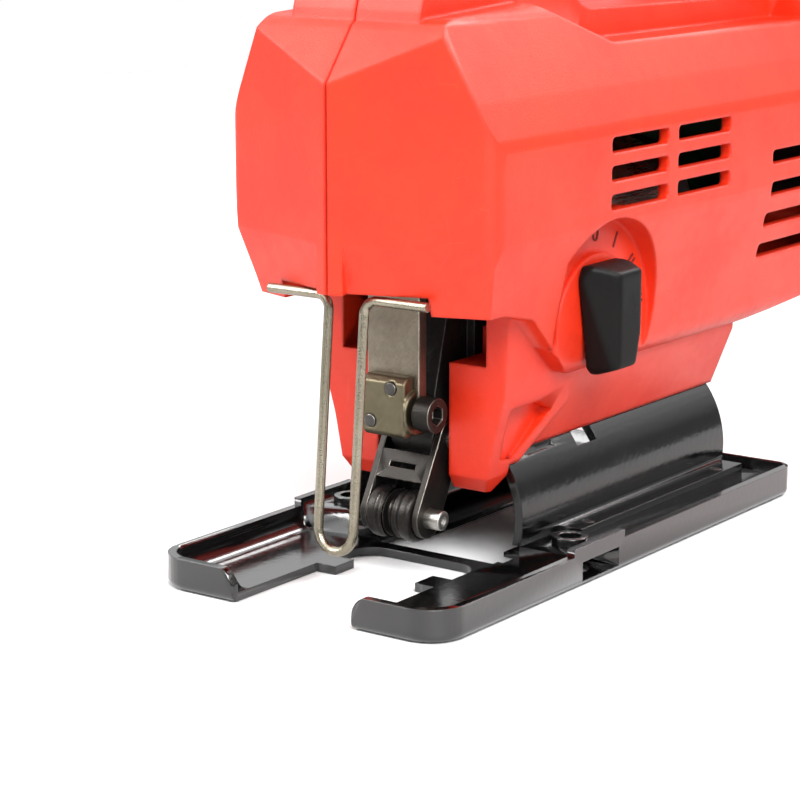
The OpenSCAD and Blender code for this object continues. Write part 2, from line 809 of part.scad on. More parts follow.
module roller_fork() {
    lean = atan2(pivot_at[0] - roller_at[0], pivot_at[1] - roller_at[1]);
    color([0.07, 0.07, 0.08]) difference() {
        union() {
            for (s = [-1, 1])
                along_x(s * (ear_out - ear_t / 2) - ear_t / 2, s * (ear_out - ear_t / 2) + ear_t / 2)
                    link(roller_at, 4.7, pivot_at, 4.4);
            // Web across the front of the ears, above the roller.
            translate([0, roller_at[0], roller_at[1]]) rotate([-lean, 0, 0])
                box([-ear_out + eps, ear_out - eps], [-4.4, -3], [6.9, 13.6]);
        }
        bar_x(roller_pin_d / 2 + seat, -10, 10, roller_at[0], roller_at[1]);
        bar_x(pivot_r + running_gap, -10, 10, pivot_at[0], pivot_at[1]);
        translate([0, roller_at[0], roller_at[1]]) rotate([-lean, 0, 0])
            box([-3.6, 3.6], [-6, 0], [9.6, 11]);
    }
}

module roller_pin() {
    color([0.80, 0.79, 0.76]) difference() {
        bar_x(roller_pin_d / 2, -ear_out - 1, 12, roller_at[0], roller_at[1]);
        bar_x(0.8, 11.4, 13, roller_at[0], roller_at[1]);
    }
}

module guide_roller() {
    color([0.30, 0.30, 0.30]) translate([-roller_w / 2, roller_at[0], roller_at[1]])
        rotate([0, 90, 0]) rotate_extrude() polygon([
            [roller_pin_d / 2 + running_gap, 0], [roller_d / 2 - 0.8, 0], [roller_d / 2, 0.8],
            [roller_d / 2, 3], [roller_d / 2 - 1, 3.6], [roller_d / 2 - 1, 4.2],
            [roller_d / 2, 4.8], [roller_d / 2 - 0.4, roller_w / 2 - 1],
            [roller_d / 2 - 2.4, roller_w / 2 - 0.9], [roller_d / 2 - 2.4, roller_w / 2 + 0.9],
            [roller_d / 2 - 0.4, roller_w / 2 + 1], [roller_d / 2, roller_w - 4.8],
            [roller_d / 2 - 1, roller_w - 4.2], [roller_d / 2 - 1, roller_w - 3.6],
            [roller_d / 2, roller_w - 3], [roller_d / 2, roller_w - 0.8],
            [roller_d / 2 - 0.8, roller_w], [roller_pin_d / 2 + running_gap, roller_w],
        ]);
}

module fork_pivot_pin() {
    color([0.70, 0.70, 0.70]) bar_x(pivot_r, -9.8, 9.8, pivot_at[0], pivot_at[1]);
}

// ---------------------------------------------------------------- guard

module quarter_bend(r) rotate_extrude(angle = 90) translate([r, 0]) circle(r = wire_d / 2);

module wire_guard() {
    bend = 3;
    leg_x = guard_w / 2;
    color([0.66, 0.63, 0.52])
        translate([0, guard_at[0], guard_at[1]]) rotate([-guard_lean, 0, 0]) {
            translate([0, 0, leg_x - guard_l]) rotate([-90, 0, 0])
                rotate_extrude(angle = 180) translate([leg_x, 0]) circle(r = wire_d / 2);
            for (s = [-1, 1]) {
                bar_z(wire_d / 2, leg_x - guard_l, -bend, s * leg_x, 0);
                // Top bend turns the leg outwards.
                mirror([s < 0 ? 1 : 0, 0, 0]) {
                    translate([leg_x + bend, 0, -bend]) rotate([90, 0, 180])
                        rotate([0, 0, 0]) quarter_bend(bend);
                    bar_x(wire_d / 2, leg_x + bend, guard_reach, 0, 0);
                }
            }
        }
}

// ---------------------------------------------------------------- selector

// Wedge-shaped fin, broad at the boss and narrow at its outer face.
module selector_lever() {
    low = -lever_l * 0.41;
    top = lever_l * 0.59;
    color([0.07, 0.06, 0.06]) translate([0, dial_at[0], dial_at[1]]) intersection() {
        along_x(lever_x[0], lever_x[1]) polygon([
            [-5, low + 1.4], [-3.4, low], [1.6, low], [3.2, low + 1.4],
            [8.8, top - 3], [6.6, top], [-7.6, top], [-9, top - 3],
        ]);
        along_y(-10, 10) polygon([
            [lever_x[0] - 1, low - 1], [lever_x[1] + 1, low + 2.6],
            [lever_x[1] + 1, top - 1.8], [lever_x[0] - 1, top + 1],
        ]);
        translate([0, 0, low - 2]) linear_extrude(lever_l + 4) polygon([
            [lever_x[0] - 1, -10.4], [lever_x[1] + 1, -3.6],
            [lever_x[1] + 1, 4.6], [lever_x[0] - 1, 9.8],
        ]);
    }
}

// Shaft with a flatted cam that limits the fork's swing.
module selector_shaft() {
    color([0.60, 0.60, 0.62]) difference() {
        bar_x(shaft_r, -7.5, lever_x[0], dial_at[0], dial_at[1]);
        box([-9, 7.5], [dial_at[0] - 6, dial_at[0] - 2.2], [dial_at[1] - 5, dial_at[1] + 5]);
    }
}

// ---------------------------------------------------------------- trigger, switch, lamp

module trigger() {
    y = trigger_at[0];
    z = trigger_at[1];
    top = trigger_top;
    color([0.09, 0.09, 0.10]) along_x(-6, 6) polygon([
        [y + 6, top], [y + 2.5, z + 14], [y + 4, z + 8], [y + 9, z + 6],
        [y + 19, z + 11], [y + 27, top - 6], [y + 29, top],
    ]);
}

module trigger_spring() {
    color([0.7, 0.7, 0.7]) bar_z(2, trigger_top, switch_z[0], 0, trigger_at[0] + 17);
}

module switch_body() {
    y = trigger_at[0];
    color([0.13, 0.13, 0.14]) difference() {
        box([-8.5, 8.5], [y + 2, y + 32], switch_z);
        box([-10, 10], [y + 26, y + 40], [switch_z[0] - 1, switch_z[0] + 3]);
    }
}

module lock_button() {
    color([0.12, 0.12, 0.13])
        bar_x(5.7, -grip_half + 1, grip_half + 4, lock_at[0], lock_at[1]);
}

module control_board() {
    board_half = half_w - 16;
    color([0.10, 0.35, 0.20]) {
        box([-board_half, board_half], [152, 153.6], [62, 108]);
        box([-8, 8], [153.6, 162], [74, 90]);
        for (s = [-1, 1]) bar_y(4, 153.6, 168, s * (board_half - 7), 98);
    }
}

module lamp_lens() {
    color([0.92, 0.93, 0.95, 0.6])
        box([-5, 5], [23, 27], [skirt_z - 0.4, skirt_z + wall]);
}

// ---------------------------------------------------------------- shoe

module shoe_outline() {
    difference() {
        union() {
            translate([-half_shoe, toe_r]) square([shoe_w, shoe_l - toe_r - 5]);
            translate([toe_r - half_shoe, 0]) square([shoe_w - 2 * toe_r, shoe_l]);
            for (s = [-1, 1]) {
                translate([s * (half_shoe - toe_r), toe_r]) circle(r = toe_r);
                translate([s * (half_shoe - 5), shoe_l - 5]) circle(r = 5);
            }
            translate([5 - half_shoe, shoe_l - 6]) square([shoe_w - 10, 6]);
        }
        // Gap between the toes, with round inner corners.
        translate([-toe_gap_w / 2, -1]) square([toe_gap_w, toe_gap_l - 5]);
        translate([6 - toe_gap_w / 2, 0]) square([toe_gap_w - 12, toe_gap_l]);
        for (s = [-1, 1]) translate([s * (toe_gap_w / 2 - 6), toe_gap_l - 6]) circle(r = 6);
    }
}

module shoe_plate() {
    color([0.05, 0.05, 0.06]) difference() {
        union() {
            // Turned-up rim all round, then the sheet itself.
            linear_extrude(edge_h) shoe_outline();
            // Higher side wall beside the fence window.
            for (s = [-1, 1])
                box([s * (half_shoe - sheet / 2) - sheet / 2, s * (half_shoe - sheet / 2) + sheet / 2],
                    [window[0] - 3.5, window[1] + 2.4], [0, deck_h + 2.4]);
        }
        // Hollow above the sheet, leaving the rim.
        difference() {
            translate([0, 0, sheet]) linear_extrude(20) intersection() {
                translate([sheet - half_shoe, sheet]) square([shoe_w - 2 * sheet, shoe_l - 2 * sheet]);
                union() {
                    translate([sheet - half_shoe, toe_r]) square([shoe_w - 2 * sheet, shoe_l]);
                    translate([toe_r - half_shoe, sheet]) square([shoe_w - 2 * toe_r, 40]);
                    for (s = [-1, 1])
                        translate([s * (half_shoe - toe_r), toe_r]) circle(r = toe_r - sheet);
                }
            }
            // Raised deck on each side.
            for (s = [-1, 1])
                box([s * 31 - 7.5, s * 31 + 7.5], [deck_front, deck_back], [0, deck_h]);
        }
        // Fence channel across the shoe, between the sole and the deck.
        box([-half_shoe - 1, half_shoe + 1], window, [channel_floor, deck_h - deck_t]);
        // Underside of the raised decks.
        for (s = [-1, 1])
            box([s * 31 - 5.5, s * 31 + 5.5], [window[1] + sheet, deck_back - sheet],
                [-1, deck_h - sheet]);
        // Opening under the arch for the blade and the bevel screw.
        box([-17, 17], [54, 66], [-1, 10]);
        box([-12, 12], [66, 112], [-1, 10]);
        // Bores of the fence collars.
        for (s = [-1, 1]) {
            bar_z(3.6 + seat, sheet + 1, 20, s * 31.5, collar_y);
            bar_z(4.6, -1, sheet + 1, s * 31.5, collar_y);
            for (y = rivet_y) bar_z(1.5 + seat, deck_h - sheet - 1, 12, s * rivet_x, y);
        }
    }
    // Lugs that hold a splinter guard, on the inner edges of the toes.
    color([0.05, 0.05, 0.06]) for (s = [-1, 1])
        box([s * (toe_gap_w / 2 - 2.6) - 2.7, s * (toe_gap_w / 2 - 2.6) + 2.7], [31, 38], [0, sheet]);
}

collar_y = 64;
module fence_collars() {
    color([0.10, 0.10, 0.11]) for (s = [-1, 1]) difference() {
        union() {
            bar_z(3.6, deck_h - deck_t, deck_h, s * 31.5, collar_y);
            bar_z(4.2, deck_h, deck_h + 2, s * 31.5, collar_y);
        }
        bar_z(collar_bore_r, 0, 20, s * 31.5, collar_y);
    }
}

// Part cylinder with out-turned flanges.
module bevel_arch() {
    color([0.06, 0.06, 0.07]) difference() {
        union() {
            bar_y(arch_r, arch_front, arch_back, 0, tilt_z);
            box([-flange_x, flange_x], [flange_front, arch_back - 1], [deck_h, deck_h + flange_t]);
        }
        bar_y(arch_r - arch_t, arch_front - 1, arch_back + 1, 0, tilt_z);
        box([-40, 40], [0, overall_l], [-20, deck_h]);
        // Slot that the bevel screw travels in as the shoe tilts.
        intersection() {
            bar_y(arch_r + 1, bevel_y - 4.4, bevel_y + 4.4, 0, tilt_z);
            translate([0, 0, tilt_z]) along_y(0, overall_l)
                polygon([[0, 0], [30, 17.5], [30, 60], [-30, 60], [-30, 17.5]]);
        }
        // Index notch in the flank.
        for (s = [-1, 1]) box([s * 22 - 3, s * 22 + 3], [67.5, 75], [26.5, 32]);
        for (s = [-1, 1], y = rivet_y) bar_z(1.5 + seat, 0, 12, s * rivet_x, y);
    }
}

bevel_y = 88;
rivet_y = [78, 140];
flange_x = arch_r + 6;
flange_t = 1.6;
flange_front = 71;
rivet_x = arch_r + 3.5;
module arch_rivets() {
    color([0.20, 0.20, 0.21]) for (s = [-1, 1], y = rivet_y) {
        bar_z(1.5, deck_h - sheet, deck_h + flange_t, s * rivet_x, y);
        bar_z(2.1, deck_h - sheet - 0.8, deck_h - sheet, s * rivet_x, y);
    }
}

// Saddle inside the arch and the screw that pulls it up.
module bevel_saddle() {
    r = arch_r - arch_t - fit;
    color([0.40, 0.40, 0.42]) difference() {
        intersection() {
            bar_y(r, bevel_y - 9, bevel_y + 9, 0, tilt_z);
            box([-8, 8], [0, overall_l], [tilt_z + r - 5, 40]);
        }
        bar_z(3 + running_gap, 0, 60, 0, bevel_y);
    }
}

module bevel_nut() {
    color([0.45, 0.45, 0.47]) difference() {
        box([-6, 6], [bevel_y - 6, bevel_y + 6], nut_z);
        bar_z(3 + running_gap, 0, 60, 0, bevel_y);
    }
}

module bevel_screw() {
    z = tilt_z + arch_r - arch_t - fit - 5;
    color([0.25, 0.25, 0.26]) difference() {
        union() {
            bar_z(3, z - 1, nut_z[1] + 0.5, 0, bevel_y);
            bar_z(5, z - 6, z, 0, bevel_y);
        }
        bar_z(2.9, z - 7, z - 2.5, 0, bevel_y, $fn = 6);
    }
}

// ---------------------------------------------------------------- battery

module battery_rail() {
    color([0.10, 0.10, 0.11]) {
        box([-rail_head, rail_head], [body_back - 4.2, body_back], [rail_z[0] - 2, rail_z[1]]);
        box([-rail_neck, rail_neck], [body_back - eps, body_back + 5], rail_z);
        box([-rail_head, rail_head], [body_back + 5 - eps, body_back + 8], rail_z);
    }
}

module terminal_blades() {
    color([0.80, 0.70, 0.45]) for (x = [-14, -5, 5, 14])
        box([x - 0.5, x + 0.5], [body_back + 1, body_back + 7], [rail_z[1], rail_z[1] + 9]);
}

pack_c = 4;
half_pack = pack_w / 2;
pack_outline = [
    [pack_c - half_pack, pack_y[0]], [half_pack - pack_c, pack_y[0]],
    [half_pack, pack_y[0] + pack_c], [half_pack, pack_y[1] - pack_c],
    [half_pack - pack_c, pack_y[1]], [pack_c - half_pack, pack_y[1]],
    [-half_pack, pack_y[1] - pack_c], [-half_pack, pack_y[0] + pack_c],
];

module rail_slot() {
    z = [pack_bottom - 1, rail_z[1] + 0.4];
    box([-rail_neck - 0.4, rail_neck + 0.4], [pack_y[0] - 1, body_back + 5.4], z);
    box([-rail_head - 0.4, rail_head + 0.4], [body_back + 4.6, body_back + 8.4], z);
    for (x = [-14, -5, 5, 14])
        box([x - 1, x + 1], [body_back + 0.5, body_back + 7.5], [z[1] - 1, z[1] + 10]);
}

latch_z = pack_bottom + 72;
module latch_pocket() {
    for (s = [-1, 1])
        box([s * (pack_w / 2 - 4) - 5, s * (pack_w / 2 - 4) + 5],
            [pack_y[0] + 3.6, split_y - 1.2], [latch_z - 8.4, latch_z + 8.4]);
}

module battery_case_front() {
    color([0.12, 0.12, 0.13]) difference() {
        intersection() {
            translate([0, 0, pack_bottom]) linear_extrude(pack_h) polygon(pack_outline);
            box([-60, 60], [0, split_y], [0, 300]);
        }
        rail_slot();
        latch_pocket();
    }
}

module battery_case_rear() {
    color([0.80, 0.16, 0.12]) difference() {
        intersection() {
            translate([0, 0, pack_bottom]) linear_extrude(pack_h) polygon(pack_outline);
            box([-60, 60], [split_y, 400], [0, 300]);
        }
        intersection() {
            translate([0, 0, pack_bottom + wall]) linear_extrude(pack_h - 2 * wall)
                polygon(inset(pack_outline, wall));
            box([-60, 60], [split_y - 1, 400], [0, 300]);
        }
    }
}

cell_step = cell_d + 0.7;
cell_y = (split_y + pack_y[1] - wall) / 2;
function cell_z(i) = pack_bottom + pack_h / 2 + (i - 2) * cell_step;
module battery_cells() {
    color([0.20, 0.45, 0.60]) for (i = [0 : 4])
        bar_x(cell_d / 2, -32.5, 32.5, cell_y, cell_z(i));
}

module cell_straps() {
    color([0.78, 0.78, 0.76]) for (s = [-1, 1], i = [0 : 2 : 3])
        box([s * 32.65 - 0.15, s * 32.65 + 0.15], [cell_y - 3.5, cell_y + 3.5],
            [cell_z(i + (s > 0 ? 0 : 1)) - 5, cell_z(i + (s > 0 ? 1 : 2)) + 5]);
}

module battery_contacts() {
    color([0.80, 0.70, 0.45]) for (x = [-14, -5, 5, 14])
        box([x + 0.55, x + 0.95], [body_back + 1.5, body_back + 7], [rail_z[1] + 1, rail_z[1] + 8]);
}

module latch(s) {
    color([0.55, 0.10, 0.08]) box(
        [s * (pack_w / 2 - 1.6) - 2.6, s * (pack_w / 2 - 1.6) + 2.6],
        [pack_y[0] + 4, split_y - 1.6], [latch_z - 8, latch_z + 8]);
}
module latch_left() latch(1);
module latch_right() latch(-1);

// ---------------------------------------------------------------- the assembly

placed() housing_left();
placed() housing_right();
placed() grip_overmould();
placed() gear_case();
placed() lower_guide();
placed() upper_guide();
placed() plunger_seal();
placed() gear_bearing();
placed() motor_can();
placed() motor_end_cap();
placed() motor_front_bearing();
placed() motor_rear_bearing();
placed() motor_brushes();
placed() switch_body();
placed() control_board();
placed() battery_rail();
placed() terminal_blades();
placed() lamp_lens();
placed() housing_screws();
placed() fork_pivot_pin();
placed() bevel_saddle();
placed() bevel_nut();
placed() bevel_screw();
placed() shoe_plate();
placed() bevel_arch();
placed() arch_rivets();
placed() fence_collars();
placed() plunger_bar();
placed() plunger_yoke();
placed() clamp_block();
placed() clamp_pins();
placed() clamp_screw();
placed() crank_gear();
placed() crank_shaft();
placed() crank_pin();
placed() counterweight();
placed() armature_shaft();
placed() armature_core();
placed() commutator();
placed() fan();
placed() pinion();
placed() roller_fork();
placed() roller_pin();
placed() guide_roller();
placed() selector_lever();
placed() selector_shaft();
placed() wire_guard();
placed() trigger();
placed() trigger_spring();
placed() lock_button();
placed() battery_case_front();
placed() battery_case_rear();
placed() battery_cells();
placed() cell_straps();
placed() battery_contacts();
placed() latch_left();
placed() latch_right();
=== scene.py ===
# %% [markdown]
# # A cordless jigsaw, finished in Blender
# The working parts of this saw come from an exact model that is loaded as a
# fixed frame. Blender adds what the eye looks for: rounded edges, moulded
# details, and the finish of each material. Nothing here changes a size.

# %% Load the frame
import bpy
import bmesh
import json
import math
from mathutils import Matrix, Vector


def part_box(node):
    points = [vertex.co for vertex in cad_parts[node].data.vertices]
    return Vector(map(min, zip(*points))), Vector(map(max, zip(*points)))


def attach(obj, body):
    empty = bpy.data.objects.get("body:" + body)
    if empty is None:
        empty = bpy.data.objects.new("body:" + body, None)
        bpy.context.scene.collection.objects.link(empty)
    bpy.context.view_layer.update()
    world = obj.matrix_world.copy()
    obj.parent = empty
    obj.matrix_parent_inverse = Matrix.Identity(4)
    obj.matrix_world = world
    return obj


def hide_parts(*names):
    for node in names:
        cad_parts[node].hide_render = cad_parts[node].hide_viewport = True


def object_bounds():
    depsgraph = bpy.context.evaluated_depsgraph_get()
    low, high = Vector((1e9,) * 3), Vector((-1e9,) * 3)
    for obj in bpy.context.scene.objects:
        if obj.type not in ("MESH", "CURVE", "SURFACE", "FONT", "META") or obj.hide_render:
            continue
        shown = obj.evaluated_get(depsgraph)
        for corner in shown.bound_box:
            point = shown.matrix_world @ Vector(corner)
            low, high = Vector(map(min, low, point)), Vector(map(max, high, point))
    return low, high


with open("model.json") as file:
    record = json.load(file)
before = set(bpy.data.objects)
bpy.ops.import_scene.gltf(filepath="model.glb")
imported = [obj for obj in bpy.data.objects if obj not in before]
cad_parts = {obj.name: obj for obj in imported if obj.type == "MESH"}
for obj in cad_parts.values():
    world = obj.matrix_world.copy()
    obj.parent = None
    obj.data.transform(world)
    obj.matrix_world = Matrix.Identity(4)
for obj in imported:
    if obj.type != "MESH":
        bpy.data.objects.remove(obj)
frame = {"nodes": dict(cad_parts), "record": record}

cad_box = [list(corner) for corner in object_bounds()]

# %% [markdown]
# ## Camera, floor and light
# The saw is seen from the front left corner of its sole, a little above, with a
# long lens that keeps upright edges upright. A pale floor and large soft lights
# suit glossy moulded plastic: small lights would make hard white dots on it.

# %% Camera
MM = 0.001
AZIMUTH, ELEVATION = math.radians(35.78), math.radians(12.6177)
camera = bpy.data.objects.new("camera", bpy.data.cameras.new("camera"))
camera.location = (0.325324, -0.533082, 0.165473)
camera.rotation_euler = (math.pi / 2 - ELEVATION, 0, AZIMUTH)
camera.data.lens = 112.92
camera.data.sensor_width = 36
camera.data.clip_start = 0.01
bpy.context.collection.objects.link(camera)
bpy.context.scene.camera = camera
print("camera lens", camera.data.lens, "mm")

# %% [markdown]
# The sky is three layers of white. Diffuse rays get an even dim light. Glossy
# rays get a sky that is dark at the horizon and bright overhead, so that black
# paint shows streaks instead of a grey veil. The camera sees plain white.

# %% Sky
AMBIENT, BACKDROP = 0.42, 1.0
HORIZON_HEIGHT, HORIZON_LIGHT = 0.15, 0.3
OVERHEAD_HEIGHT, OVERHEAD_LIGHT = 0.75, 2.6
scene = bpy.context.scene
scene.view_settings.view_transform = "Standard"
scene.view_settings.look = "None"
sky = bpy.data.worlds.new("studio")
sky.use_nodes = True
nodes, links = sky.node_tree.nodes, sky.node_tree.links
path = nodes.new("ShaderNodeLightPath")


def sky_layer(strength, mask=None, below=None):
    """White light of one strength, laid over another where a mask is 1."""
    layer = nodes.new("ShaderNodeBackground")
    layer.inputs["Color"].default_value = (1, 1, 1, 1)
    if isinstance(strength, (int, float)):
        layer.inputs["Strength"].default_value = strength
    else:
        links.new(strength, layer.inputs["Strength"])
    if below is None:
        return layer.outputs[0]
    mix = nodes.new("ShaderNodeMixShader")
    links.new(mask, mix.inputs[0])
    links.new(below, mix.inputs[1])
    links.new(layer.outputs[0], mix.inputs[2])
    return mix.outputs[0]


rise = nodes.new("ShaderNodeSeparateXYZ")
links.new(nodes.new("ShaderNodeTexCoord").outputs["Generated"], rise.inputs[0])
overhead = nodes.new("ShaderNodeMapRange")
overhead.inputs["From Min"].default_value = HORIZON_HEIGHT
overhead.inputs["From Max"].default_value = OVERHEAD_HEIGHT
overhead.inputs["To Min"].default_value = HORIZON_LIGHT
overhead.inputs["To Max"].default_value = OVERHEAD_LIGHT
links.new(rise.outputs["Z"], overhead.inputs["Value"])
ambient = sky_layer(AMBIENT)
shine = sky_layer(overhead.outputs["Result"], path.outputs["Is Glossy Ray"], ambient)
backdrop = sky_layer(BACKDROP, path.outputs["Is Camera Ray"], shine)
links.new(backdrop, nodes["World Output"].inputs["Surface"])
scene.world = sky
print("sky:", sky.name)

# %% Lamps


def soft_light(name, at, look_at, width, height, watts):
    """A rectangular lamp that faces a point."""
    data = bpy.data.lights.new(name, "AREA")
    data.shape = "RECTANGLE"
    data.size, data.size_y = width, height
    data.energy = watts
    lamp = bpy.data.objects.new(name, data)
    lamp.location = at
    lamp.rotation_euler = (Vector(look_at) - Vector(at)).to_track_quat("-Z", "Y").to_euler()
    bpy.context.collection.objects.link(lamp)
    return lamp


soft_light("key_light", (0.85, -0.75, 0.95), (0, 0, 0.08), 0.7, 0.7, 27)
soft_light("fill_light", (-0.9, -0.8, 0.75), (0, 0, 0.08), 0.7, 0.7, 14)
soft_light("back_light", (0.2, 1.0, 1.0), (0, 0, 0.1), 0.9, 0.5, 14)
print("three lamps")

# %% [markdown]
# The floor is white to the camera. It throws back a little less light than that,
# so the parts that face down keep their shade.

# %% Floor
FLOOR_HALF, FLOOR_GAP = 0.9, 0.0002
FLOOR_SEEN, FLOOR_BOUNCE = 0.97, 0.7
floor_mesh = bpy.data.meshes.new("floor")
corners = [(x * FLOOR_HALF, y * FLOOR_HALF, 0) for x, y in ((-1, -1), (1, -1), (1, 1), (-1, 1))]
floor_mesh.from_pydata(corners, [], [(0, 1, 2, 3)])
floor = bpy.data.objects.new("floor", floor_mesh)
floor.location.z = cad_box[0][2] - FLOOR_GAP
bpy.context.collection.objects.link(floor)
pale = bpy.data.materials.new("pale_floor")
pale.use_nodes = True
nodes, links = pale.node_tree.nodes, pale.node_tree.links
tone = nodes.new("ShaderNodeMix")
tone.data_type = "RGBA"
tone.inputs[6].default_value = (FLOOR_BOUNCE, FLOOR_BOUNCE, FLOOR_BOUNCE, 1)
tone.inputs[7].default_value = (FLOOR_SEEN, FLOOR_SEEN, FLOOR_SEEN, 1)
links.new(nodes.new("ShaderNodeLightPath").outputs["Is Camera Ray"], tone.inputs[0])
links.new(tone.outputs[2], nodes["Principled BSDF"].inputs["Base Color"])
nodes["Principled BSDF"].inputs["Roughness"].default_value = 0.6
floor_mesh.materials.append(pale)
print("floor at", round(floor.location.z, 5), "m")

# %% [markdown]
# ## Shared effects for the finishes
# Moulded, painted and ground surfaces differ in colour, but the same few things
# happen to all of them: a fine grain, a slow drift in colour, rubbed edges, and
# marks from tools or hands. Each effect is one node group with named inputs, and
# every material places it with values of its own.

# %% Node group helper


def new_group(name, inputs, outputs):
    """An empty shader group. Inputs are (name, default); outputs are names."""
    group = bpy.data.node_groups.new(name, "ShaderNodeTree")
    for label, value in inputs:
        kind = "NodeSocketVector" if isinstance(value, tuple) else "NodeSocketFloat"
        socket = group.interface.new_socket(label, in_out="INPUT", socket_type=kind)
        socket.default_value = value
    for label in outputs:
        group.interface.new_socket(label, in_out="OUTPUT", socket_type="NodeSocketFloat")
    return group, group.nodes.new("NodeGroupInput"), group.nodes.new("NodeGroupOutput")


def wire(tree, source, node, socket):
    tree.links.new(source, node.inputs[socket])


def noise(tree, vector, scale, detail=4.0, roughness=0.55):
    """Noise over a vector. scale is a number or a socket."""
    node = tree.nodes.new("ShaderNodeTexNoise")
    node.inputs["Detail"].default_value = detail
    node.inputs["Roughness"].default_value = roughness
    wire(tree, vector, node, "Vector")
    if isinstance(scale, (int, float)):
        node.inputs["Scale"].default_value = scale
    else:
        wire(tree, scale, node, "Scale")
    return node.outputs["Fac"]


def spread(tree, value, low, high, to_low=0.0, to_high=1.0):
    """Maps low..high to to_low..to_high, smoothly at both ends."""
    node = tree.nodes.new("ShaderNodeMapRange")
    node.interpolation_type = "SMOOTHSTEP"
    wire(tree, value, node, "Value")
    limits = {"From Min": low, "From Max": high, "To Min": to_low, "To Max": to_high}
    for socket, number in limits.items():
        if isinstance(number, (int, float)):
            node.inputs[socket].default_value = number
        else:
            wire(tree, number, node, socket)
    return node.outputs["Result"]


def maths(tree, operation, a, b=None):
    node = tree.nodes.new("ShaderNodeMath")
    node.operation = operation
    for index, value in enumerate((a, b)):
        if value is None:
            continue
        if isinstance(value, (int, float)):
            node.inputs[index].default_value = value
        else:
            tree.links.new(value, node.inputs[index])
    return node.outputs[0]


print("helpers for node groups ready")

# %% [markdown]
# A moulding tool is spark-eroded, which leaves a fine sandy grain on plastic. It
# could be displaced geometry, but at a tenth of a millimetre a bump is enough.

# %% Grain group
grain, into, out = new_group("moulded_grain", [("Scale", 2600.0)], ["Height"])
place = grain.nodes.new("ShaderNodeTexCoord").outputs["Object"]
fine = noise(grain, place, into.outputs["Scale"], 2.0)
cells = grain.nodes.new("ShaderNodeTexVoronoi")
wire(grain, place, cells, "Vector")
wire(grain, into.outputs["Scale"], cells, "Scale")
pits = maths(grain, "MULTIPLY", cells.outputs["Distance"], 0.5)
wire(grain, maths(grain, "ADD", fine, pits), out, "Height")
print("group", grain.name)

# %% [markdown]
# No moulding or casting is one even colour. Two sizes of noise added together
# give a slow cloud with smaller spots in it, which stands for uneven pigment,
# handling and light dust.

# %% Drift group
drift, into, out = new_group("slow_drift", [("Scale", 40.0), ("Contrast", 0.5)], ["Value"])
place = drift.nodes.new("ShaderNodeTexCoord").outputs["Object"]
wide = noise(drift, place, into.outputs["Scale"], 3.0)
small = noise(drift, place, maths(drift, "MULTIPLY", into.outputs["Scale"], 7.0), 5.0, 0.7)
both = maths(drift, "ADD", maths(drift, "MULTIPLY", wide, 0.65), maths(drift, "MULTIPLY", small, 0.35))
softness = maths(drift, "SUBTRACT", 1.0, into.outputs["Contrast"])
low = maths(drift, "SUBTRACT", 0.5, maths(drift, "MULTIPLY", softness, 0.3))
high = maths(drift, "SUBTRACT", 1.0, low)
wire(drift, spread(drift, both, low, high), out, "Value")
print("group", drift.name)

# %% [markdown]
# Edges rub first. Every rounded edge made below stores a "worn" value on its
# middle line. A Bevel node finds the edges that were left sharp, because there
# its softened normal turns away from the true one. So the wear follows the real
# edges, and noise breaks it into patches.

# %% Rubbed edge group
rubbed, into, out = new_group("rubbed_edges", [("Amount", 0.5), ("Scale", 180.0)], ["Mask"])
place = rubbed.nodes.new("ShaderNodeTexCoord").outputs["Object"]
edge = rubbed.nodes.new("ShaderNodeAttribute")
edge.attribute_name = "worn"
softened = rubbed.nodes.new("ShaderNodeBevel")
softened.samples = 4
softened.inputs["Radius"].default_value = 0.0005
agree = rubbed.nodes.new("ShaderNodeVectorMath")
agree.operation = "DOT_PRODUCT"
rubbed.links.new(softened.outputs["Normal"], agree.inputs[0])
rubbed.links.new(rubbed.nodes.new("ShaderNodeNewGeometry").outputs["Normal"], agree.inputs[1])
turned_away = spread(rubbed, agree.outputs["Value"], 0.97, 0.8)
on_edge = maths(rubbed, "MAXIMUM", edge.outputs["Fac"], turned_away)
patch = noise(rubbed, place, into.outputs["Scale"], 6.0, 0.7)
limit = maths(rubbed, "SUBTRACT", 1.05, into.outputs["Amount"])
patch = maths(rubbed, "ADD", maths(rubbed, "MULTIPLY", patch, 0.8), maths(rubbed, "MULTIPLY", on_edge, 0.35))
mask = spread(rubbed, patch, limit, maths(rubbed, "ADD", limit, 0.16))
wire(rubbed, maths(rubbed, "MULTIPLY", mask, on_edge), out, "Mask")
print("group", rubbed.name)

# %% [markdown]
# Ground and brushed steel shows long fine lines. They are noise on coordinates
# that are squeezed along the brush, so one vector sets both size and direction.

# %% Brushed group
brushed, into, out = new_group(
    "brushed_lines", [("Stretch", (40.0, 2400.0, 2400.0)), ("Turn", 0.0)], ["Height", "Value"])
turned = brushed.nodes.new("ShaderNodeVectorRotate")
turned.rotation_type = "Y_AXIS"
wire(brushed, brushed.nodes.new("ShaderNodeTexCoord").outputs["Object"], turned, "Vector")
wire(brushed, into.outputs["Turn"], turned, "Angle")
place = turned.outputs["Vector"]
squeeze = brushed.nodes.new("ShaderNodeVectorMath")
squeeze.operation = "MULTIPLY"
brushed.links.new(place, squeeze.inputs[0])
brushed.links.new(into.outputs["Stretch"], squeeze.inputs[1])
lines = noise(brushed, squeeze.outputs["Vector"], 1.0, 3.0, 0.6)
wire(brushed, lines, out, "Height")
wire(brushed, spread(brushed, lines, 0.3, 0.7), out, "Value")
print("group", brushed.name)

# %% [markdown]
# Fine scratches are the borders of stretched cells, broken up by noise so that
# only short pieces of them are left.

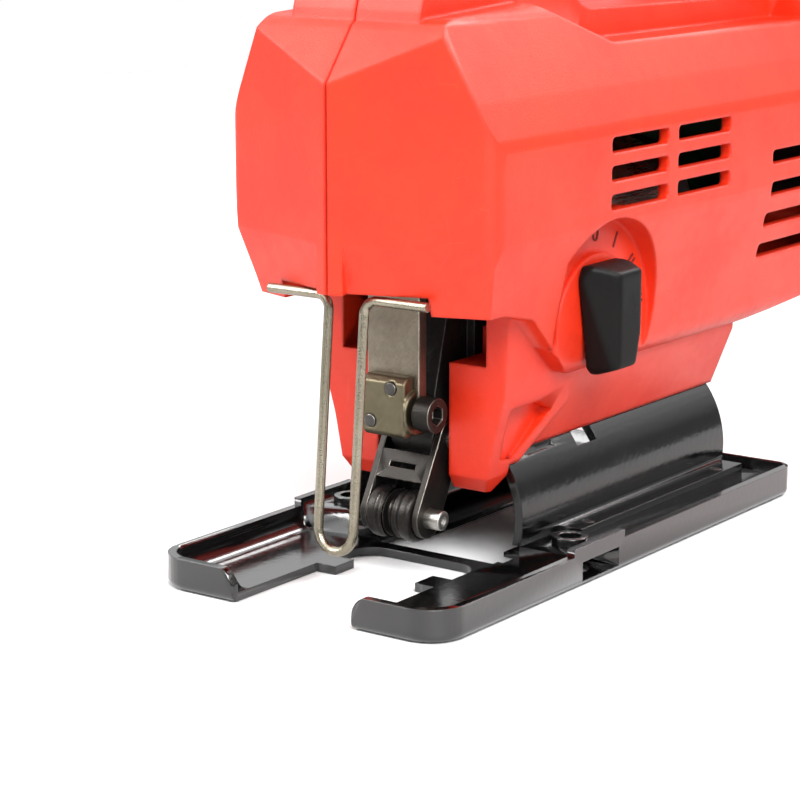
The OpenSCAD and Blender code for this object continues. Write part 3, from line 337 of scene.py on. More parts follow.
# %% Scratch group
scratches, into, out = new_group("fine_scratches", [("Scale", 60.0), ("Amount", 0.3)], ["Mask"])
place = scratches.nodes.new("ShaderNodeTexCoord").outputs["Object"]
warp = scratches.nodes.new("ShaderNodeVectorMath")
warp.operation = "MULTIPLY"
scratches.links.new(place, warp.inputs[0])
warp.inputs[1].default_value = (1.0, 9.0, 2.2)
cracks = scratches.nodes.new("ShaderNodeTexVoronoi")
cracks.feature = "DISTANCE_TO_EDGE"
wire(scratches, warp.outputs["Vector"], cracks, "Vector")
wire(scratches, into.outputs["Scale"], cracks, "Scale")
thin = spread(scratches, cracks.outputs["Distance"], 0.0, 0.012, 1.0, 0.0)
broken = spread(scratches, noise(scratches, place, 90.0, 3.0), 0.52, 0.62)
short = maths(scratches, "MULTIPLY", thin, broken)
wire(scratches, maths(scratches, "MULTIPLY", short, into.outputs["Amount"]), out, "Mask")
print("group", scratches.name)

# %% [markdown]
# ## One recipe for the finishes
# Every finish is the same stack: a base colour that drifts towards a second one,
# rubbed edges in a third, scratches, then roughness and bump that follow the
# same masks. Only the numbers differ, so one function builds them all. Numbers
# that are the same all over a surface are set on the shader itself.

# %% Finish recipe


def linear(r, g, b):
    """Display colour, 0 to 255, as linear light."""
    shares = [c / 255 for c in (r, g, b)]
    light = [s / 12.92 if s <= 0.0393 else ((s + 0.055) / 1.055) ** 2.4 for s in shares]
    return (*light, 1.0)


def place_group(tree, group, **values):
    node = tree.nodes.new("ShaderNodeGroup")
    node.node_tree = group
    for key, value in values.items():
        node.inputs[key].default_value = value
    return node


def mix_colour(tree, mask, a, b):
    """a where the mask is 0 and b where it is 1. a may be a socket."""
    node = tree.nodes.new("ShaderNodeMix")
    node.data_type = "RGBA"
    tree.links.new(mask, node.inputs[0])
    for index, value in ((6, a), (7, b)):
        if isinstance(value, tuple):
            node.inputs[index].default_value = value
        else:
            tree.links.new(value, node.inputs[index])
    return node.outputs[2]


RUB_ROUGH = 0.3
COAT_ROUGH = 0.12


def finish(name, base, second, rub, rough=(0.4, 0.5), metal=0.0, drift_scale=40.0, contrast=0.4,
           grain_scale=2600.0, grain_depth=0.00004, wear=0.5, scratch=0.25, coat=0.0, brush=None,
           brush_depth=0.00003, specular=0.5, cross=0.0, edge_radius=0.0005):
    """A material from the shared effects. Colours are display values, 0 to 255.

    brush is the stretch of the brushed lines, and cross is the angle at which
    two sets of them meet. Depths and the edge radius are in metres.
    """
    material = bpy.data.materials.new(name)
    material.use_nodes = True
    tree = material.node_tree
    shader = tree.nodes["Principled BSDF"]
    cloud = place_group(tree, drift, Scale=drift_scale, Contrast=contrast)
    edges = place_group(tree, rubbed, Amount=wear)
    marks = place_group(tree, scratches, Amount=scratch)
    colour = mix_colour(tree, cloud.outputs["Value"], linear(*base), linear(*second))
    colour = mix_colour(tree, marks.outputs["Mask"], colour, linear(*rub))
    colour = mix_colour(tree, edges.outputs["Mask"], colour, linear(*rub))
    tree.links.new(colour, shader.inputs["Base Color"])
    gloss = spread(tree, cloud.outputs["Value"], 0.0, 1.0, rough[0], rough[1])
    sand = place_group(tree, grain, Scale=grain_scale)
    bump = tree.nodes.new("ShaderNodeBump")
    bump.inputs["Strength"].default_value = 1.0
    bump.inputs["Distance"].default_value = grain_depth
    tree.links.new(sand.outputs["Height"], bump.inputs["Height"])
    soft_edge = tree.nodes.new("ShaderNodeBevel")
    soft_edge.samples = 4
    soft_edge.inputs["Radius"].default_value = edge_radius
    tree.links.new(soft_edge.outputs["Normal"], bump.inputs["Normal"])
    if brush:
        hatch = place_group(tree, brushed, Stretch=brush, Turn=cross)
        ridges = hatch.outputs["Height"]
        if cross:
            other = place_group(tree, brushed, Stretch=brush, Turn=-cross)
            ridges = maths(tree, "MINIMUM", ridges, other.outputs["Height"])
            dark = spread(tree, ridges, 0.32, 0.5, 0.4, 0.0)
            colour = mix_colour(tree, dark, colour, linear(*(c * 0.45 for c in base)))
            tree.links.new(colour, shader.inputs["Base Color"])
        rows = tree.nodes.new("ShaderNodeBump")
        rows.inputs["Distance"].default_value = brush_depth
        tree.links.new(ridges, rows.inputs["Height"])
        tree.links.new(bump.outputs["Normal"], rows.inputs["Normal"])
        bump = rows
        gloss = maths(tree, "ADD", gloss, spread(tree, hatch.outputs["Value"], 0.0, 1.0, -0.06, 0.1))
    smooth = tree.nodes.new("ShaderNodeMix")
    tree.links.new(edges.outputs["Mask"], smooth.inputs[0])
    tree.links.new(gloss, smooth.inputs[2])
    smooth.inputs[3].default_value = RUB_ROUGH
    tree.links.new(smooth.outputs[0], shader.inputs["Roughness"])
    tree.links.new(bump.outputs["Normal"], shader.inputs["Normal"])
    shader.inputs["Metallic"].default_value = metal
    shader.inputs["Specular IOR Level"].default_value = specular
    shader.inputs["Coat Weight"].default_value = coat
    shader.inputs["Coat Roughness"].default_value = COAT_ROUGH
    return material


print("finish recipe ready")

# %% [markdown]
# Each finish below is named after the record's material slot that it serves.
# The red nylon has the widest soft edge of them all.

# %% Finishes of the mouldings
FINISHES = {
    "red_shell": finish("red_nylon", (222, 50, 18), (211, 40, 13), (238, 92, 62), (0.38, 0.48),
                        coat=0.08, wear=0.3, specular=0.45, edge_radius=0.0012),
    "pack_red": finish("red_nylon_pack", (214, 48, 22), (202, 40, 16), (230, 92, 66), (0.44, 0.54),
                       wear=0.4, specular=0.4),
    "soft_grip": finish("grip_rubber", (24, 23, 23), (34, 33, 32), (64, 61, 58), (0.72, 0.86),
                        grain_scale=1500.0, grain_depth=0.00012, wear=0.4, specular=0.35),
    "black_rubber": finish("seal_rubber", (22, 21, 21), (32, 31, 30), (50, 48, 46), (0.7, 0.85), wear=0.3),
    "black_plastic": finish("black_nylon", (20, 19, 19), (30, 28, 28), (74, 71, 68), (0.42, 0.55), wear=0.4),
    "lever_plastic": finish("lever_nylon", (8, 7, 7), (13, 12, 11), (96, 92, 88), (0.42, 0.54),
                            wear=0.35, specular=0.16, scratch=0.05),
    "clear_lens": finish("clear_lens", (226, 232, 236), (214, 222, 228), (240, 244, 246), (0.06, 0.1),
                         wear=0.1, coat=0.6),
    "cell_wrap": finish("cell_wrap", (40, 92, 152), (34, 80, 138), (90, 130, 170), (0.3, 0.4), wear=0.2),
    "circuit_board": finish("circuit_board", (22, 92, 54), (16, 76, 44), (150, 140, 70), (0.35, 0.5),
                            wear=0.3),
}
print(len(FINISHES), "moulded finishes")

# %% Finishes of the metals
FINISHES.update({
    "bright_steel": finish("bright_steel", (196, 194, 188), (168, 166, 160), (232, 231, 228),
                           (0.22, 0.34), 1.0, brush=(60.0, 2600.0, 2600.0), wear=0.6),
    "plated_steel": finish("plated_steel", (172, 168, 160), (150, 146, 138), (222, 220, 214),
                           (0.24, 0.36), 1.0, drift_scale=90.0, brush=(2400.0, 160.0, 2400.0),
                           wear=0.5, scratch=0.3),
    "black_paint": finish("black_enamel", (8, 8, 8), (14, 13, 13), (70, 68, 64), (0.1, 0.2), 0.0,
                          drift_scale=60.0, coat=1.0, wear=0.2, scratch=0.12, grain_scale=700.0),
    # A darker, less shiny copy of the black enamel for the arch: painted shade for the body's shade that
    # falls on it.
    "arch_shaded_enamel": finish("arch_shaded_enamel", (6, 6, 6), (11, 10, 10), (60, 58, 55), (0.12, 0.22), 0.0,
                          drift_scale=60.0, coat=0.35, specular=0.35, wear=0.2, scratch=0.1,
                          grain_scale=700.0),
    "ground_steel": finish("ground_steel", (150, 141, 126), (126, 117, 103), (206, 200, 188),
                           (0.3, 0.46), 1.0, brush=(9000.0, 9000.0, 700.0), wear=0.5, cross=0.8),
    "clamp_metal": finish("clamp_metal", (116, 108, 88), (102, 95, 77), (182, 175, 156), (0.32, 0.44), 1.0,
                          drift_scale=90.0, contrast=0.3, grain_scale=1800.0, grain_depth=0.00005,
                          wear=0.45, scratch=0.15),
    "black_oxide": finish("black_oxide", (38, 36, 35), (54, 51, 48), (138, 132, 124), (0.34, 0.5), 0.9,
                          wear=0.5),
    "dark_steel": finish("dark_steel", (92, 90, 88), (74, 72, 70), (150, 147, 142), (0.3, 0.45), 1.0,
                         brush=(900.0, 60.0, 900.0), wear=0.5),
    "roller_steel": finish("roller_steel", (30, 28, 27), (44, 41, 39), (120, 115, 108), (0.2, 0.34), 0.8,
                           brush=(80.0, 1600.0, 1600.0), brush_depth=0.00001, wear=0.35),
    "guard_wire": finish("guard_wire", (158, 151, 134), (132, 125, 108), (206, 202, 190), (0.2, 0.32), 1.0,
                         contrast=0.3, brush=(5200.0, 5200.0, 90.0), brush_depth=0.00001,
                         wear=0.3, scratch=0.1),
    # The cast aluminium is given a near-black colour: painted shade for the dark inside of the nose, where
    # it shows.
    "cast_aluminium": finish("cast_aluminium", (58, 56, 55), (40, 38, 37), (120, 118, 116), (0.45, 0.6), 0.7,
                             grain_scale=900.0, grain_depth=0.0001, wear=0.4),
    "bronze": finish("bronze", (176, 130, 74), (150, 106, 56), (210, 170, 110), (0.35, 0.5), 1.0,
                     wear=0.4),
    "contact_brass": finish("contact_brass", (202, 168, 92), (178, 144, 74), (226, 200, 130),
                            (0.22, 0.35), 1.0, wear=0.5),
    "copper_winding": finish("copper_winding", (188, 104, 62), (160, 82, 46), (220, 150, 110),
                             (0.3, 0.42), 1.0, brush=(1800.0, 60.0, 1800.0), brush_depth=0.0002, wear=0.3),
    "brush_carbon": finish("brush_carbon", (44, 43, 44), (58, 57, 57), (84, 82, 80), (0.55, 0.7), wear=0.3),
})
print(len(FINISHES), "finishes in all")

# %% [markdown]
# The frame's own pieces take these finishes too, because the ones inside show
# through the slots and when the battery is off. The arch gets a darker, less
# shiny copy of the shoe's enamel: painted shade for the body's shade on it.

# %% Every frame piece takes its finish
slots_of = {}
for name, node in frame["nodes"].items():
    for index, used in enumerate(node.data.materials):
        key = used.name.split(".")[0] if used else ""
        slots_of[name] = key
        if key in FINISHES:
            node.material_slots[index].material = FINISHES[key]
# The arch takes the shaded copy of the shoe's enamel: painted shade.
slots_of["bevel_arch"] = "arch_shaded_enamel"
print("slots:", sorted(set(slots_of.values())))

# %% [markdown]
# ## Rounded copies of the frame's pieces
# Nothing on a real tool has a knife edge. A mould is polished and steel is
# tumbled, so each edge has a small radius that catches the light. A copy of the
# frame's mesh is merged, its flat faces are joined, and its sharp edges are
# bevelled. The middle line of each bevel is stored as "worn" for the materials.

# %% Rounding helper


MERGE = 2e-6
FLAT = math.radians(0.5)


def solid_copy(node, join=True):
    """A bmesh of a frame piece, merged, with its flat faces joined unless join is off."""
    shape = bmesh.new()
    shape.from_mesh(frame["nodes"][node].data)
    shape.transform(frame["nodes"][node].matrix_world)
    bmesh.ops.remove_doubles(shape, verts=shape.verts, dist=MERGE)
    if join:
        bmesh.ops.dissolve_limit(shape, angle_limit=FLAT, verts=shape.verts, edges=shape.edges)
    return shape


def round_edges(shape, width, angle=27):
    """Bevels the sharp edges of a bmesh and marks the middle of each bevel."""
    worn = shape.verts.layers.float.get("worn") or shape.verts.layers.float.new("worn")
    sharp = [e for e in shape.edges if e.is_manifold and e.calc_face_angle(0) > math.radians(angle)]
    made = bmesh.ops.bevel(shape, geom=sharp, offset=width * MM, offset_type="OFFSET", segments=2,
                           profile=0.5, affect="EDGES", clamp_overlap=False, loop_slide=True)
    new = set(made["faces"])
    for vert in made["verts"]:
        if vert.is_valid and all(f in new for f in vert.link_faces):
            vert[worn] = 1.0
    return shape


def piece(name, shape, body, finish_name, stands_for=(), flat_normals=True, crease=38):
    """A finished object from a bmesh: shaded, finished, and riding on a body."""
    mesh = bpy.data.meshes.new(name)
    bmesh.ops.triangulate(shape, faces=[f for f in shape.faces if len(f.verts) > 4])
    for face in shape.faces:
        face.smooth = True
    shape.to_mesh(mesh)
    shape.free()
    mesh.set_sharp_from_angle(angle=math.radians(crease))
    mesh.materials.clear()
    mesh.materials.append(FINISHES[finish_name])
    thing = bpy.data.objects.new(name, mesh)
    bpy.context.collection.objects.link(thing)
    if flat_normals:
        even = thing.modifiers.new("even_normals", "WEIGHTED_NORMAL")
        even.weight = 90
        even.keep_sharp = True
        bake_modifiers(thing)
    if stands_for:
        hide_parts(*stands_for)
    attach(thing, body)
    return thing


def bake_modifiers(thing):
    """Turns an object's modifiers into plain mesh."""
    seen = thing.evaluated_get(bpy.context.evaluated_depsgraph_get())
    mesh = bpy.data.meshes.new_from_object(seen)
    thing.modifiers.clear()
    thing.data = mesh


print("rounding helpers ready")

# %% [markdown]
# A bevel that is too wide for a small face folds it over itself. So each piece
# is tried with narrower and narrower bevels until its volume and its faces stay
# sound. Where none is, the sharp copy stays and its material softens the edges.

# %% Widest sound bevel
body_of_node = {n: b for b, names in frame["record"]["behaviour"]["bodies"].items() for n in names}
BEVEL_TRIES = [(share, join) for share in (1.0, 0.7, 0.45) for join in (True, False)]
BEVEL_TRIES += [(0.25, True), (0.0, True)]
VOLUME_CHANGE, FOLDED, AREA_GROWTH = 0.03, math.radians(172), 1.0006


def sound(shape, volume):
    """True if no face folds over itself and the volume is nearly as it was."""
    if abs(shape.calc_volume(signed=True) - volume) > VOLUME_CHANGE * abs(volume):
        return False
    folded = sum(1 for e in shape.edges if e.is_manifold and e.calc_face_angle(0) > FOLDED)
    before = sum(f.calc_area() for f in shape.faces)
    test = shape.copy()
    bmesh.ops.triangulate(test, faces=test.faces)
    after = sum(f.calc_area() for f in test.faces)
    test.free()
    return folded == 0 and after < before * AREA_GROWTH


def refined(node, width, angle):
    """The widest bevel that leaves the piece sound, as a finished piece."""
    for share, join in BEVEL_TRIES:
        shape = solid_copy(node, join)
        volume = shape.calc_volume(signed=True)
        if share:
            round_edges(shape, width * share, angle)
        if not share or sound(shape, volume):
            break
        shape.free()
    print(node, "rounded by", round(width * share, 2), "mm")
    crease = 50 if share else max(angle - 1, 12)
    return piece(node + "_finish", shape, body_of_node[node], slots_of[node], (node,), crease=crease)


# %% [markdown]
# The widths below are in millimetres. The facets of the mouldings meet at
# shallow angles, so their bevels start at a smaller angle than the others.

# %% Round the outer pieces
ROUNDED = {
    "housing_left": 0.5, "housing_right": 0.5, "grip_overmould": 0.6, "bevel_arch": 0.4,
    "arch_rivets": 0.4, "fence_collars": 0.3, "plunger_bar": 0.3, "clamp_pins": 0.3,
    "clamp_screw": 0.3, "roller_fork": 0.3, "roller_pin": 0.3, "guide_roller": 0.5,
    "trigger": 0.8, "lock_button": 0.6, "battery_case_front": 0.9, "battery_case_rear": 0.9,
    "latch_left": 0.5, "latch_right": 0.5, "housing_screws": 0.2, "bevel_saddle": 0.4, "bevel_nut": 0.3,
    "bevel_screw": 0.3, "lamp_lens": 0.2,
}
FACETED = ("housing_left", "housing_right", "grip_overmould", "trigger")
FACET_ANGLE, EDGE_ANGLE = 13, 27
for node, width in ROUNDED.items():
    refined(node, width, FACET_ANGLE if node in FACETED else EDGE_ANGLE)

# %% [markdown]
# ## Tools for cutting and pressing
# A few pieces are shaped further than their frame nodes: the shoe is pressed,
# the lever is well rounded, the wire is bent. The shoe starts from simple prisms
# that are joined or cut with booleans, and is rounded at the very end.

# %% Prism and boolean helpers


def prism(points, start, end):
    """A closed bar along y from start to end. points are (x, z), all in mm."""
    shape = bmesh.new()
    rings = [[shape.verts.new(Vector((x, y, z)) * MM) for x, z in points] for y in (start, end)]
    count = len(points)
    for k in range(count):
        shape.faces.new((rings[0][k], rings[0][(k + 1) % count], rings[1][(k + 1) % count], rings[1][k]))
    shape.faces.new(rings[0])
    shape.faces.new(rings[1])
    bmesh.ops.recalc_face_normals(shape, faces=shape.faces)
    return shape


def combine(shape, others, operation):
    """Joins, cuts or intersects a bmesh with others, and frees them all."""
    base = bpy.data.meshes.new("base")
    shape.to_mesh(base)
    shape.free()
    thing = bpy.data.objects.new("base", base)
    bpy.context.collection.objects.link(thing)
    tools = []
    for other in others:
        mesh = bpy.data.meshes.new("tool")
        other.to_mesh(mesh)
        other.free()
        tool = bpy.data.objects.new("tool", mesh)
        bpy.context.collection.objects.link(tool)
        tools.append(tool)
        cut = thing.modifiers.new("cut", "BOOLEAN")
        cut.operation = operation
        cut.solver = "EXACT"
        cut.object = tool
    bake_modifiers(thing)
    result = bmesh.new()
    result.from_mesh(thing.data)
    for extra in tools + [thing]:
        bpy.data.objects.remove(extra)
    bmesh.ops.remove_doubles(result, verts=result.verts, dist=MERGE)
    bmesh.ops.dissolve_limit(result, angle_limit=FLAT, verts=result.verts, edges=result.edges)
    return result


def arc(centre, radius, start, end, steps):
    """Points on an arc, in mm and degrees."""
    return [(centre[0] + radius * math.cos(math.radians(start + (end - start) * k / steps)),
             centre[1] + radius * math.sin(math.radians(start + (end - start) * k / steps)))
            for k in range(steps + 1)]


print("prism, combine and arc ready")

# %% [markdown]
# ## The pressed shoe
# The shoe is one steel sheet whose rim is turned up like a baking tray's. A
# solid with square corners looks milled, so a fillet is swept along the inside
# of each toe's rim, the rim's ends are cut to a quarter round, and the outer
# edge under the rim gets a generous radius, as a press tool leaves it.

# %% Shoe sizes from the frame
shoe_low, shoe_high = (Vector(corner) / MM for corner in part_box("shoe_plate"))
SHOE_HALF, SHOE_FRONT = shoe_high.x, shoe_low.y
GAP_HALF = 16.5
TOE_ROUND = 9.0
SHEET = 2.0
print("shoe", round(2 * SHOE_HALF, 1), "mm wide, front at", round(SHOE_FRONT, 1))


def rim_path(side, depth):
    """The line a given depth inside the rim of one toe, from the gap round to the deck."""
    corner = arc((SHOE_HALF - TOE_ROUND, SHOE_FRONT + TOE_ROUND), TOE_ROUND - depth, -90, 0, 10)
    line = [(GAP_HALF + 0.1, SHOE_FRONT + depth)] + corner + [(SHOE_HALF - depth, SHOE_FRONT + 52)]
    return [(side * x, y) for x, y in line]


def rim_fillet(side):
    """A concave fillet between sheet and rim, swept along one toe."""
    radius = 4.2
    section = [(SHEET - 0.6, SHEET - 0.6), (SHEET - 0.6, SHEET + radius)]
    section += [(SHEET + radius - dx, SHEET + radius - dz) for dx, dz in arc((0, 0), radius, 0, 90, 7)]
    section += [(SHEET + radius, SHEET - 0.6)]
    shape = bmesh.new()
    rings = []
    for step in range(len(rim_path(side, 0))):
        ring = [Vector((*rim_path(side, depth)[step], height)) * MM for depth, height in section]
        rings.append([shape.verts.new(point) for point in ring])
    for a, b in zip(rings, rings[1:]):
        for k in range(len(section)):
            shape.faces.new((a[k], a[(k + 1) % len(section)], b[(k + 1) % len(section)], b[k]))
    shape.faces.new(rings[0])
    shape.faces.new(rings[-1])
    bmesh.ops.recalc_face_normals(shape, faces=shape.faces)
    return shape


# %% Press the shoe


def pressed_outline(depth):
    """The shoe's outline in mm, moved inwards by a depth, anticlockwise from the front."""
    back = shoe_high.y - 5
    points = []
    for cx, cy, radius, turn in ((SHOE_HALF - TOE_ROUND, SHOE_FRONT + TOE_ROUND, TOE_ROUND, -90),
                                 (SHOE_HALF - 5, back, 5, 0), (5 - SHOE_HALF, back, 5, 90),
                                 (TOE_ROUND - SHOE_HALF, SHOE_FRONT + TOE_ROUND, TOE_ROUND, 180)):
        points += arc((cx, cy), radius - depth, turn, turn + 90, 10)
    return points


def pressed_envelope():
    """A tray-shaped block: the outline with its lower edge rounded by 1.8 mm."""
    levels = [(1.8 - out, 1.8 - down) for down, out in arc((0, 0), 1.8, 0, 90, 6)]
    levels.append((0.0, 30.0))
    shape = bmesh.new()
    rings = [[shape.verts.new(Vector((x, y, z)) * MM) for x, y in pressed_outline(depth)]
             for depth, z in levels]
    for a, b in zip(rings, rings[1:]):
        for k in range(len(a)):
            shape.faces.new((a[k], a[(k + 1) % len(a)], b[(k + 1) % len(a)], b[k]))
    shape.faces.new(rings[0])
    shape.faces.new(rings[-1])
    bmesh.ops.recalc_face_normals(shape, faces=shape.faces)
    return shape


shoe = combine(solid_copy("shoe_plate"), [rim_fillet(1), rim_fillet(-1)], "UNION")
rim_ends = []
for side in (-1, 1):
    quarter = [(side * (GAP_HALF - 1), 9), (side * (GAP_HALF - 1), 3.0)]
    quarter += [(side * (GAP_HALF + 5.0 + a), 3.0 + b) for a, b in arc((0, 0), 5.0, 180, 90, 7)]
    quarter += [(side * (GAP_HALF + 5.0), 9)]
    rim_ends.append(prism(quarter, SHOE_FRONT - 1, SHOE_FRONT + 6.6))
shoe = combine(shoe, rim_ends, "DIFFERENCE")
shoe = combine(shoe, [pressed_envelope()], "INTERSECT")
volume = shoe.calc_volume(signed=True)
trial = round_edges(shoe.copy(), 0.35, 34)
if sound(trial, volume):
    shoe, trial = trial, shoe
trial.free()
made = piece("pressed_shoe", shoe, "shoe", "black_paint", ("shoe_plate",))
print(made.name, len(made.data.polygons), "faces", round(volume * 1e9), "mm3")

# %% [markdown]
# ## The orbital lever
# Fingers turn this lever, so its mould is rounded far more than anything else on
# the saw. A bevel wide enough would meet itself across the narrow faces. The
# wedge is therefore remeshed into small even faces and smoothed, as a mould
# maker would sand a model, and a little is added back so that it keeps its size.

# %% Round the lever


def sanded(name, node, finish_name, voxel, rounds, swell):
    """A frame piece remeshed in voxels, smoothed and swollen back. Sizes are in mm."""
    shape = solid_copy(node)
    mesh = bpy.data.meshes.new(name)
    shape.to_mesh(mesh)
    shape.free()
    thing = bpy.data.objects.new(name + "_rough", mesh)
    bpy.context.collection.objects.link(thing)
    even = thing.modifiers.new("even", "REMESH")
    even.mode = "VOXEL"
    even.voxel_size = voxel * MM
    soft = thing.modifiers.new("soft", "SMOOTH")
    soft.factor = 0.5
    soft.iterations = rounds
    out = thing.modifiers.new("swell", "DISPLACE")
    out.strength = swell * MM
    out.mid_level = 0.0
    bake_modifiers(thing)
    result = bmesh.new()
    result.from_mesh(thing.data)
    bpy.data.objects.remove(thing)
    return piece(name, result, body_of_node[node], finish_name, (node,), flat_normals=False, crease=70)


made = sanded("rounded_lever", "selector_lever", "lever_plastic", 0.4, 16, 0.2)
print(made.name, len(made.data.polygons), "faces")

# %% [markdown]
# The blade clamp is a small metal block with softened corners. It is sanded the
# same way, with smaller faces and fewer rounds, so that its bores stay crisp.

# %% Round the clamp block
made = sanded("cast_clamp", "clamp_block", "clamp_metal", 0.25, 4, 0.05)
print(made.name, len(made.data.polygons), "faces")

# %% [markdown]
# ## The wire guard
# The guard is a length of spring wire bent into a long loop, with both ends
# turned outwards into the nose. A curve with a round profile bends smoothly,
# where a chain of bars would show its joints.

# %% Bend the guard
guard_low, guard_high = (Vector(corner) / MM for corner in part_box("wire_guard"))
WIRE = 1.1
reach, leg, turn_in = guard_high.x, 4.85, 3.2
guard_joint = next(j for j in frame["record"]["behaviour"]["joints"] if j["child"] == "wire_guard")
pivot = Vector(guard_joint["pos_m"]) / MM
drop = pivot.z - guard_low.z - WIRE - leg
half_loop = [(reach - 0.02, 0.0), (leg + turn_in, 0.0)]
half_loop += [(leg + turn_in + a, -turn_in + b) for a, b in arc((0, 0), turn_in, 90, 180, 8)][1:]
half_loop += [(a, -drop + b) for a, b in arc((0, 0), leg, 0, -90, 12)]
loop = half_loop + [(-x, z) for x, z in reversed(half_loop[:-1])]
lean = math.atan2(guard_low.y + WIRE - pivot.y, -(guard_low.z + WIRE - pivot.z))
bent = bpy.data.curves.new("guard_wire", "CURVE")
bent.dimensions = "3D"
bent.bevel_depth = WIRE * MM
bent.bevel_resolution = 5
bent.use_fill_caps = True
line = bent.splines.new("POLY")
line.points.add(len(loop) - 1)
for point, (x, z) in zip(line.points, loop):
    point.co = (*(Vector((x, pivot.y - z * math.sin(lean), pivot.z + z * math.cos(lean))) * MM), 1)
guard = bpy.data.objects.new("guard_wire_loop", bent)
bpy.context.collection.objects.link(guard)
shape = bmesh.new()
seen = guard.evaluated_get(bpy.context.evaluated_depsgraph_get())
shape.from_mesh(bpy.data.meshes.new_from_object(seen))
bpy.data.objects.remove(guard)
bmesh.ops.remove_doubles(shape, verts=shape.verts, dist=1e-6)
made = piece("bent_guard", shape, "wire_guard", "guard_wire", ("wire_guard",), crease=60)
made_width = 2 * max(v.co.x for v in made.data.vertices) / MM
print(made.name, round(made_width, 1), "mm wide; the frame's is", round(2 * guard_high.x, 1), "mm wide")

# %% [markdown]
# ## Rows of ribs, made by nodes
# Ribs on the grip and on the battery case follow one rule: the same small bar,
# repeated in a line. A Geometry Nodes tree with named inputs makes each row from
# a count, a start and a step, so that a row can be changed by one number instead
# of by moving bars by hand.

# %% Rib row tree


def rib_row_tree(name, bar, finish_name):
    """A tree that repeats a bar. bar holds its size in mm along x, y and z."""
    tree = bpy.data.node_groups.new(name, "GeometryNodeTree")
    tree.interface.new_socket("Geometry", in_out="OUTPUT", socket_type="NodeSocketGeometry")
    sockets = {}
    kinds = {"Count": "NodeSocketInt", "Start": "NodeSocketVector", "Step": "NodeSocketVector"}
    for label, kind in kinds.items():
        sockets[label] = tree.interface.new_socket(label, in_out="INPUT", socket_type=kind)
    into, out = tree.nodes.new("NodeGroupInput"), tree.nodes.new("NodeGroupOutput")
    row = tree.nodes.new("GeometryNodeMeshLine")
    row.mode = "OFFSET"
    tree.links.new(into.outputs["Count"], row.inputs["Count"])
    tree.links.new(into.outputs["Start"], row.inputs["Start Location"])
    tree.links.new(into.outputs["Step"], row.inputs["Offset"])
    source = tree.nodes.new("GeometryNodeObjectInfo")
    source.inputs["Object"].default_value = bar
    place = tree.nodes.new("GeometryNodeInstanceOnPoints")
    tree.links.new(row.outputs["Mesh"], place.inputs["Points"])
    tree.links.new(source.outputs["Geometry"], place.inputs["Instance"])
    real = tree.nodes.new("GeometryNodeRealizeInstances")
    tree.links.new(place.outputs["Instances"], real.inputs["Geometry"])
    coat = tree.nodes.new("GeometryNodeSetMaterial")
    coat.inputs["Material"].default_value = FINISHES[finish_name]
    tree.links.new(real.outputs["Geometry"], coat.inputs["Geometry"])
    tree.links.new(coat.outputs["Geometry"], out.inputs["Geometry"])
    return tree, {label: socket.identifier for label, socket in sockets.items()}


def rib_rows(name, shape, body, finish_name, rows):
    """Rows of one bar as a finished piece. rows are (count, start, step) in mm."""
    mesh = bpy.data.meshes.new(name + "_bar")
    for face in shape.faces:
        face.smooth = True
    shape.to_mesh(mesh)
    shape.free()
    mesh.set_sharp_from_angle(angle=math.radians(50))
    bar = bpy.data.objects.new(name + "_bar", mesh)
    bpy.context.collection.objects.link(bar)
    joined = bmesh.new()
    for number, (count, start, step) in enumerate(rows):
        tree, keys = rib_row_tree(f"{name}_{number}", bar, finish_name)
        host = bpy.data.objects.new(name, bpy.data.meshes.new(name))
        bpy.context.collection.objects.link(host)
        nodes = host.modifiers.new("rows", "NODES")
        nodes.node_group = tree
        nodes[keys["Count"]] = count
        nodes[keys["Start"]] = [c * MM for c in start]
        nodes[keys["Step"]] = [c * MM for c in step]
        bake_modifiers(host)
        joined.from_mesh(host.data)
        bpy.data.objects.remove(host)
    bpy.data.objects.remove(bar)
    return piece(name, joined, body, finish_name, flat_normals=False, crease=50)


def bar_shape(size, radius):
    """A bar about the origin, size in mm, with rounded edges."""
    shape = bmesh.new()
    bmesh.ops.create_cube(shape, size=1.0, matrix=Matrix.Diagonal((*(c * MM for c in size), 1)))
    return round_edges(shape, radius)


print("rib rows ready")

# %% [markdown]
# The grip's rubber carries short upright ribs on both flanks, where fingers and
# palm press. The battery case has long ribs that stiffen its thin walls.

# %% Ribs on the grip and the battery
grip_low, grip_high = (Vector(c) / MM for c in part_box("grip_overmould"))
pack_low, pack_high = (Vector(c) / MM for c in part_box("battery_case_rear"))
flank = grip_high.x - 0.35
mid_z = (grip_low.z + grip_high.z) / 2 + 1
grip_rows = [(9, (side * flank, grip_low.y + 12, mid_z), (0, 6.2, 0)) for side in (-1, 1)]
rib_rows("grip_ribs", bar_shape((1.2, 2.4, 13), 0.5), "body", "soft_grip", grip_rows)
side_x = pack_high.x - 0.2
pack_mid = (pack_low.y + pack_high.y) / 2 + 1
pack_rows = [(5, (side * side_x, pack_mid, pack_low.z + 30), (0, 0, 13)) for side in (-1, 1)]
pack_bar = bar_shape((1.6, pack_high.y - pack_low.y - 8, 2.2), 0.6)
rib_rows("pack_ribs", pack_bar, "battery", "pack_red", pack_rows)
print("grip", [round(c) for c in grip_low], [round(c) for c in grip_high])
print("pack", [round(c) for c in pack_low], [round(c) for c in pack_high])

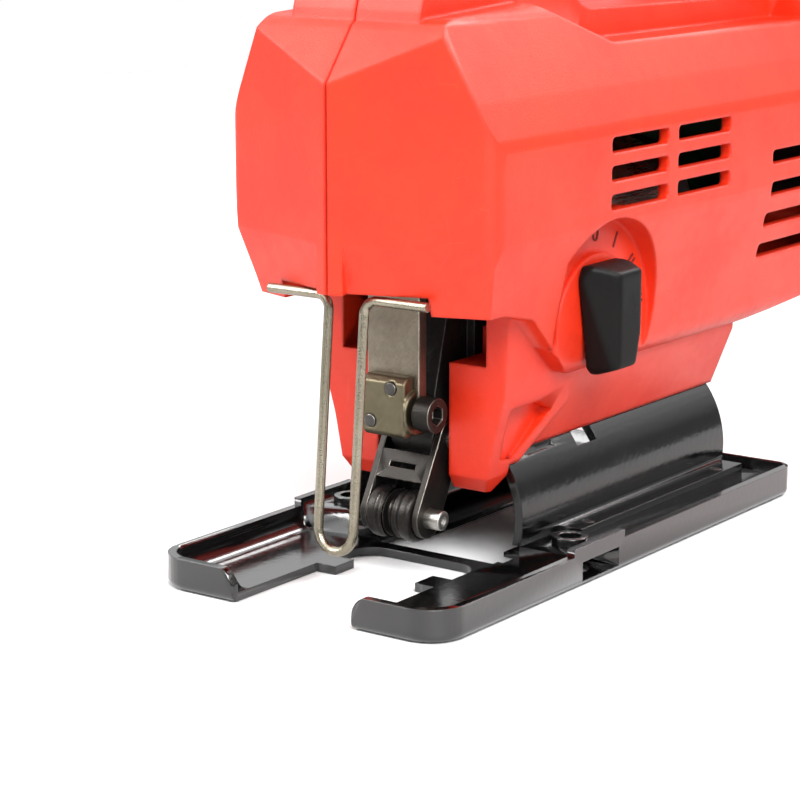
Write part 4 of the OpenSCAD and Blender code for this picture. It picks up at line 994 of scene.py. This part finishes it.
# %% [markdown]
# ## Numbers on the dial
# The lever points at four stages, moulded into the floor of its recess. Plain
# text is turned into a mesh, laid on the recess floor round the lever's axis,
# and given the thickness of a moulded mark.

# %% Dial numbers
selector = next(j for j in frame["record"]["behaviour"]["joints"] if j["child"] == "selector")
axis_y, axis_z = selector["pos_m"][1] / MM, selector["pos_m"][2] / MM
lever_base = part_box("selector_lever")[0][0] / MM
BOSS, LEVER_GAP = 1.8, 0.2
recess_floor = lever_base - BOSS - LEVER_GAP
MARK_RING, MARK_SIZE, MARK_DEPTH = 21.2, 5.6, 0.12
FACE_OUT = Matrix(((0, 0, 1, 0), (1, 0, 0, 0), (0, 1, 0, 0), (0, 0, 0, 1)))
marks = bmesh.new()
for label, angle in (("0", 4), ("I", 29), ("II", 54), ("III", 80)):
    words = bpy.data.curves.new("mark_" + label, "FONT")
    words.body = label
    words.size = MARK_SIZE * MM
    words.extrude = MARK_DEPTH * MM
    words.align_x, words.align_y = "CENTER", "CENTER"
    text = bpy.data.objects.new("mark_" + label, words)
    bpy.context.collection.objects.link(text)
    seen = text.evaluated_get(bpy.context.evaluated_depsgraph_get())
    cut = bpy.data.meshes.new_from_object(seen)
    lean_over = math.radians(angle)
    across, up = MARK_RING * math.sin(lean_over), MARK_RING * math.cos(lean_over)
    spot = Vector((recess_floor, axis_y + across, axis_z + up)) * MM
    cut.transform(Matrix.Translation(spot) @ Matrix.Rotation(-lean_over, 4, "X") @ FACE_OUT)
    marks.from_mesh(cut)
    bpy.data.objects.remove(text)
bmesh.ops.remove_doubles(marks, verts=marks.verts, dist=1e-6)
FINISHES["mark_red"] = finish("mark_red", (120, 22, 12), (104, 16, 9), (150, 40, 28), (0.5, 0.6), wear=0.1)
made = piece("dial_numbers", marks, "body", "mark_red", flat_normals=False, crease=30)
print(made.name, "on the recess floor at x", round(recess_floor, 1))

# %% [markdown]
# ## Last step
# The view layer is updated once more.

# %% Update the view layer
bpy.context.view_layer.update()
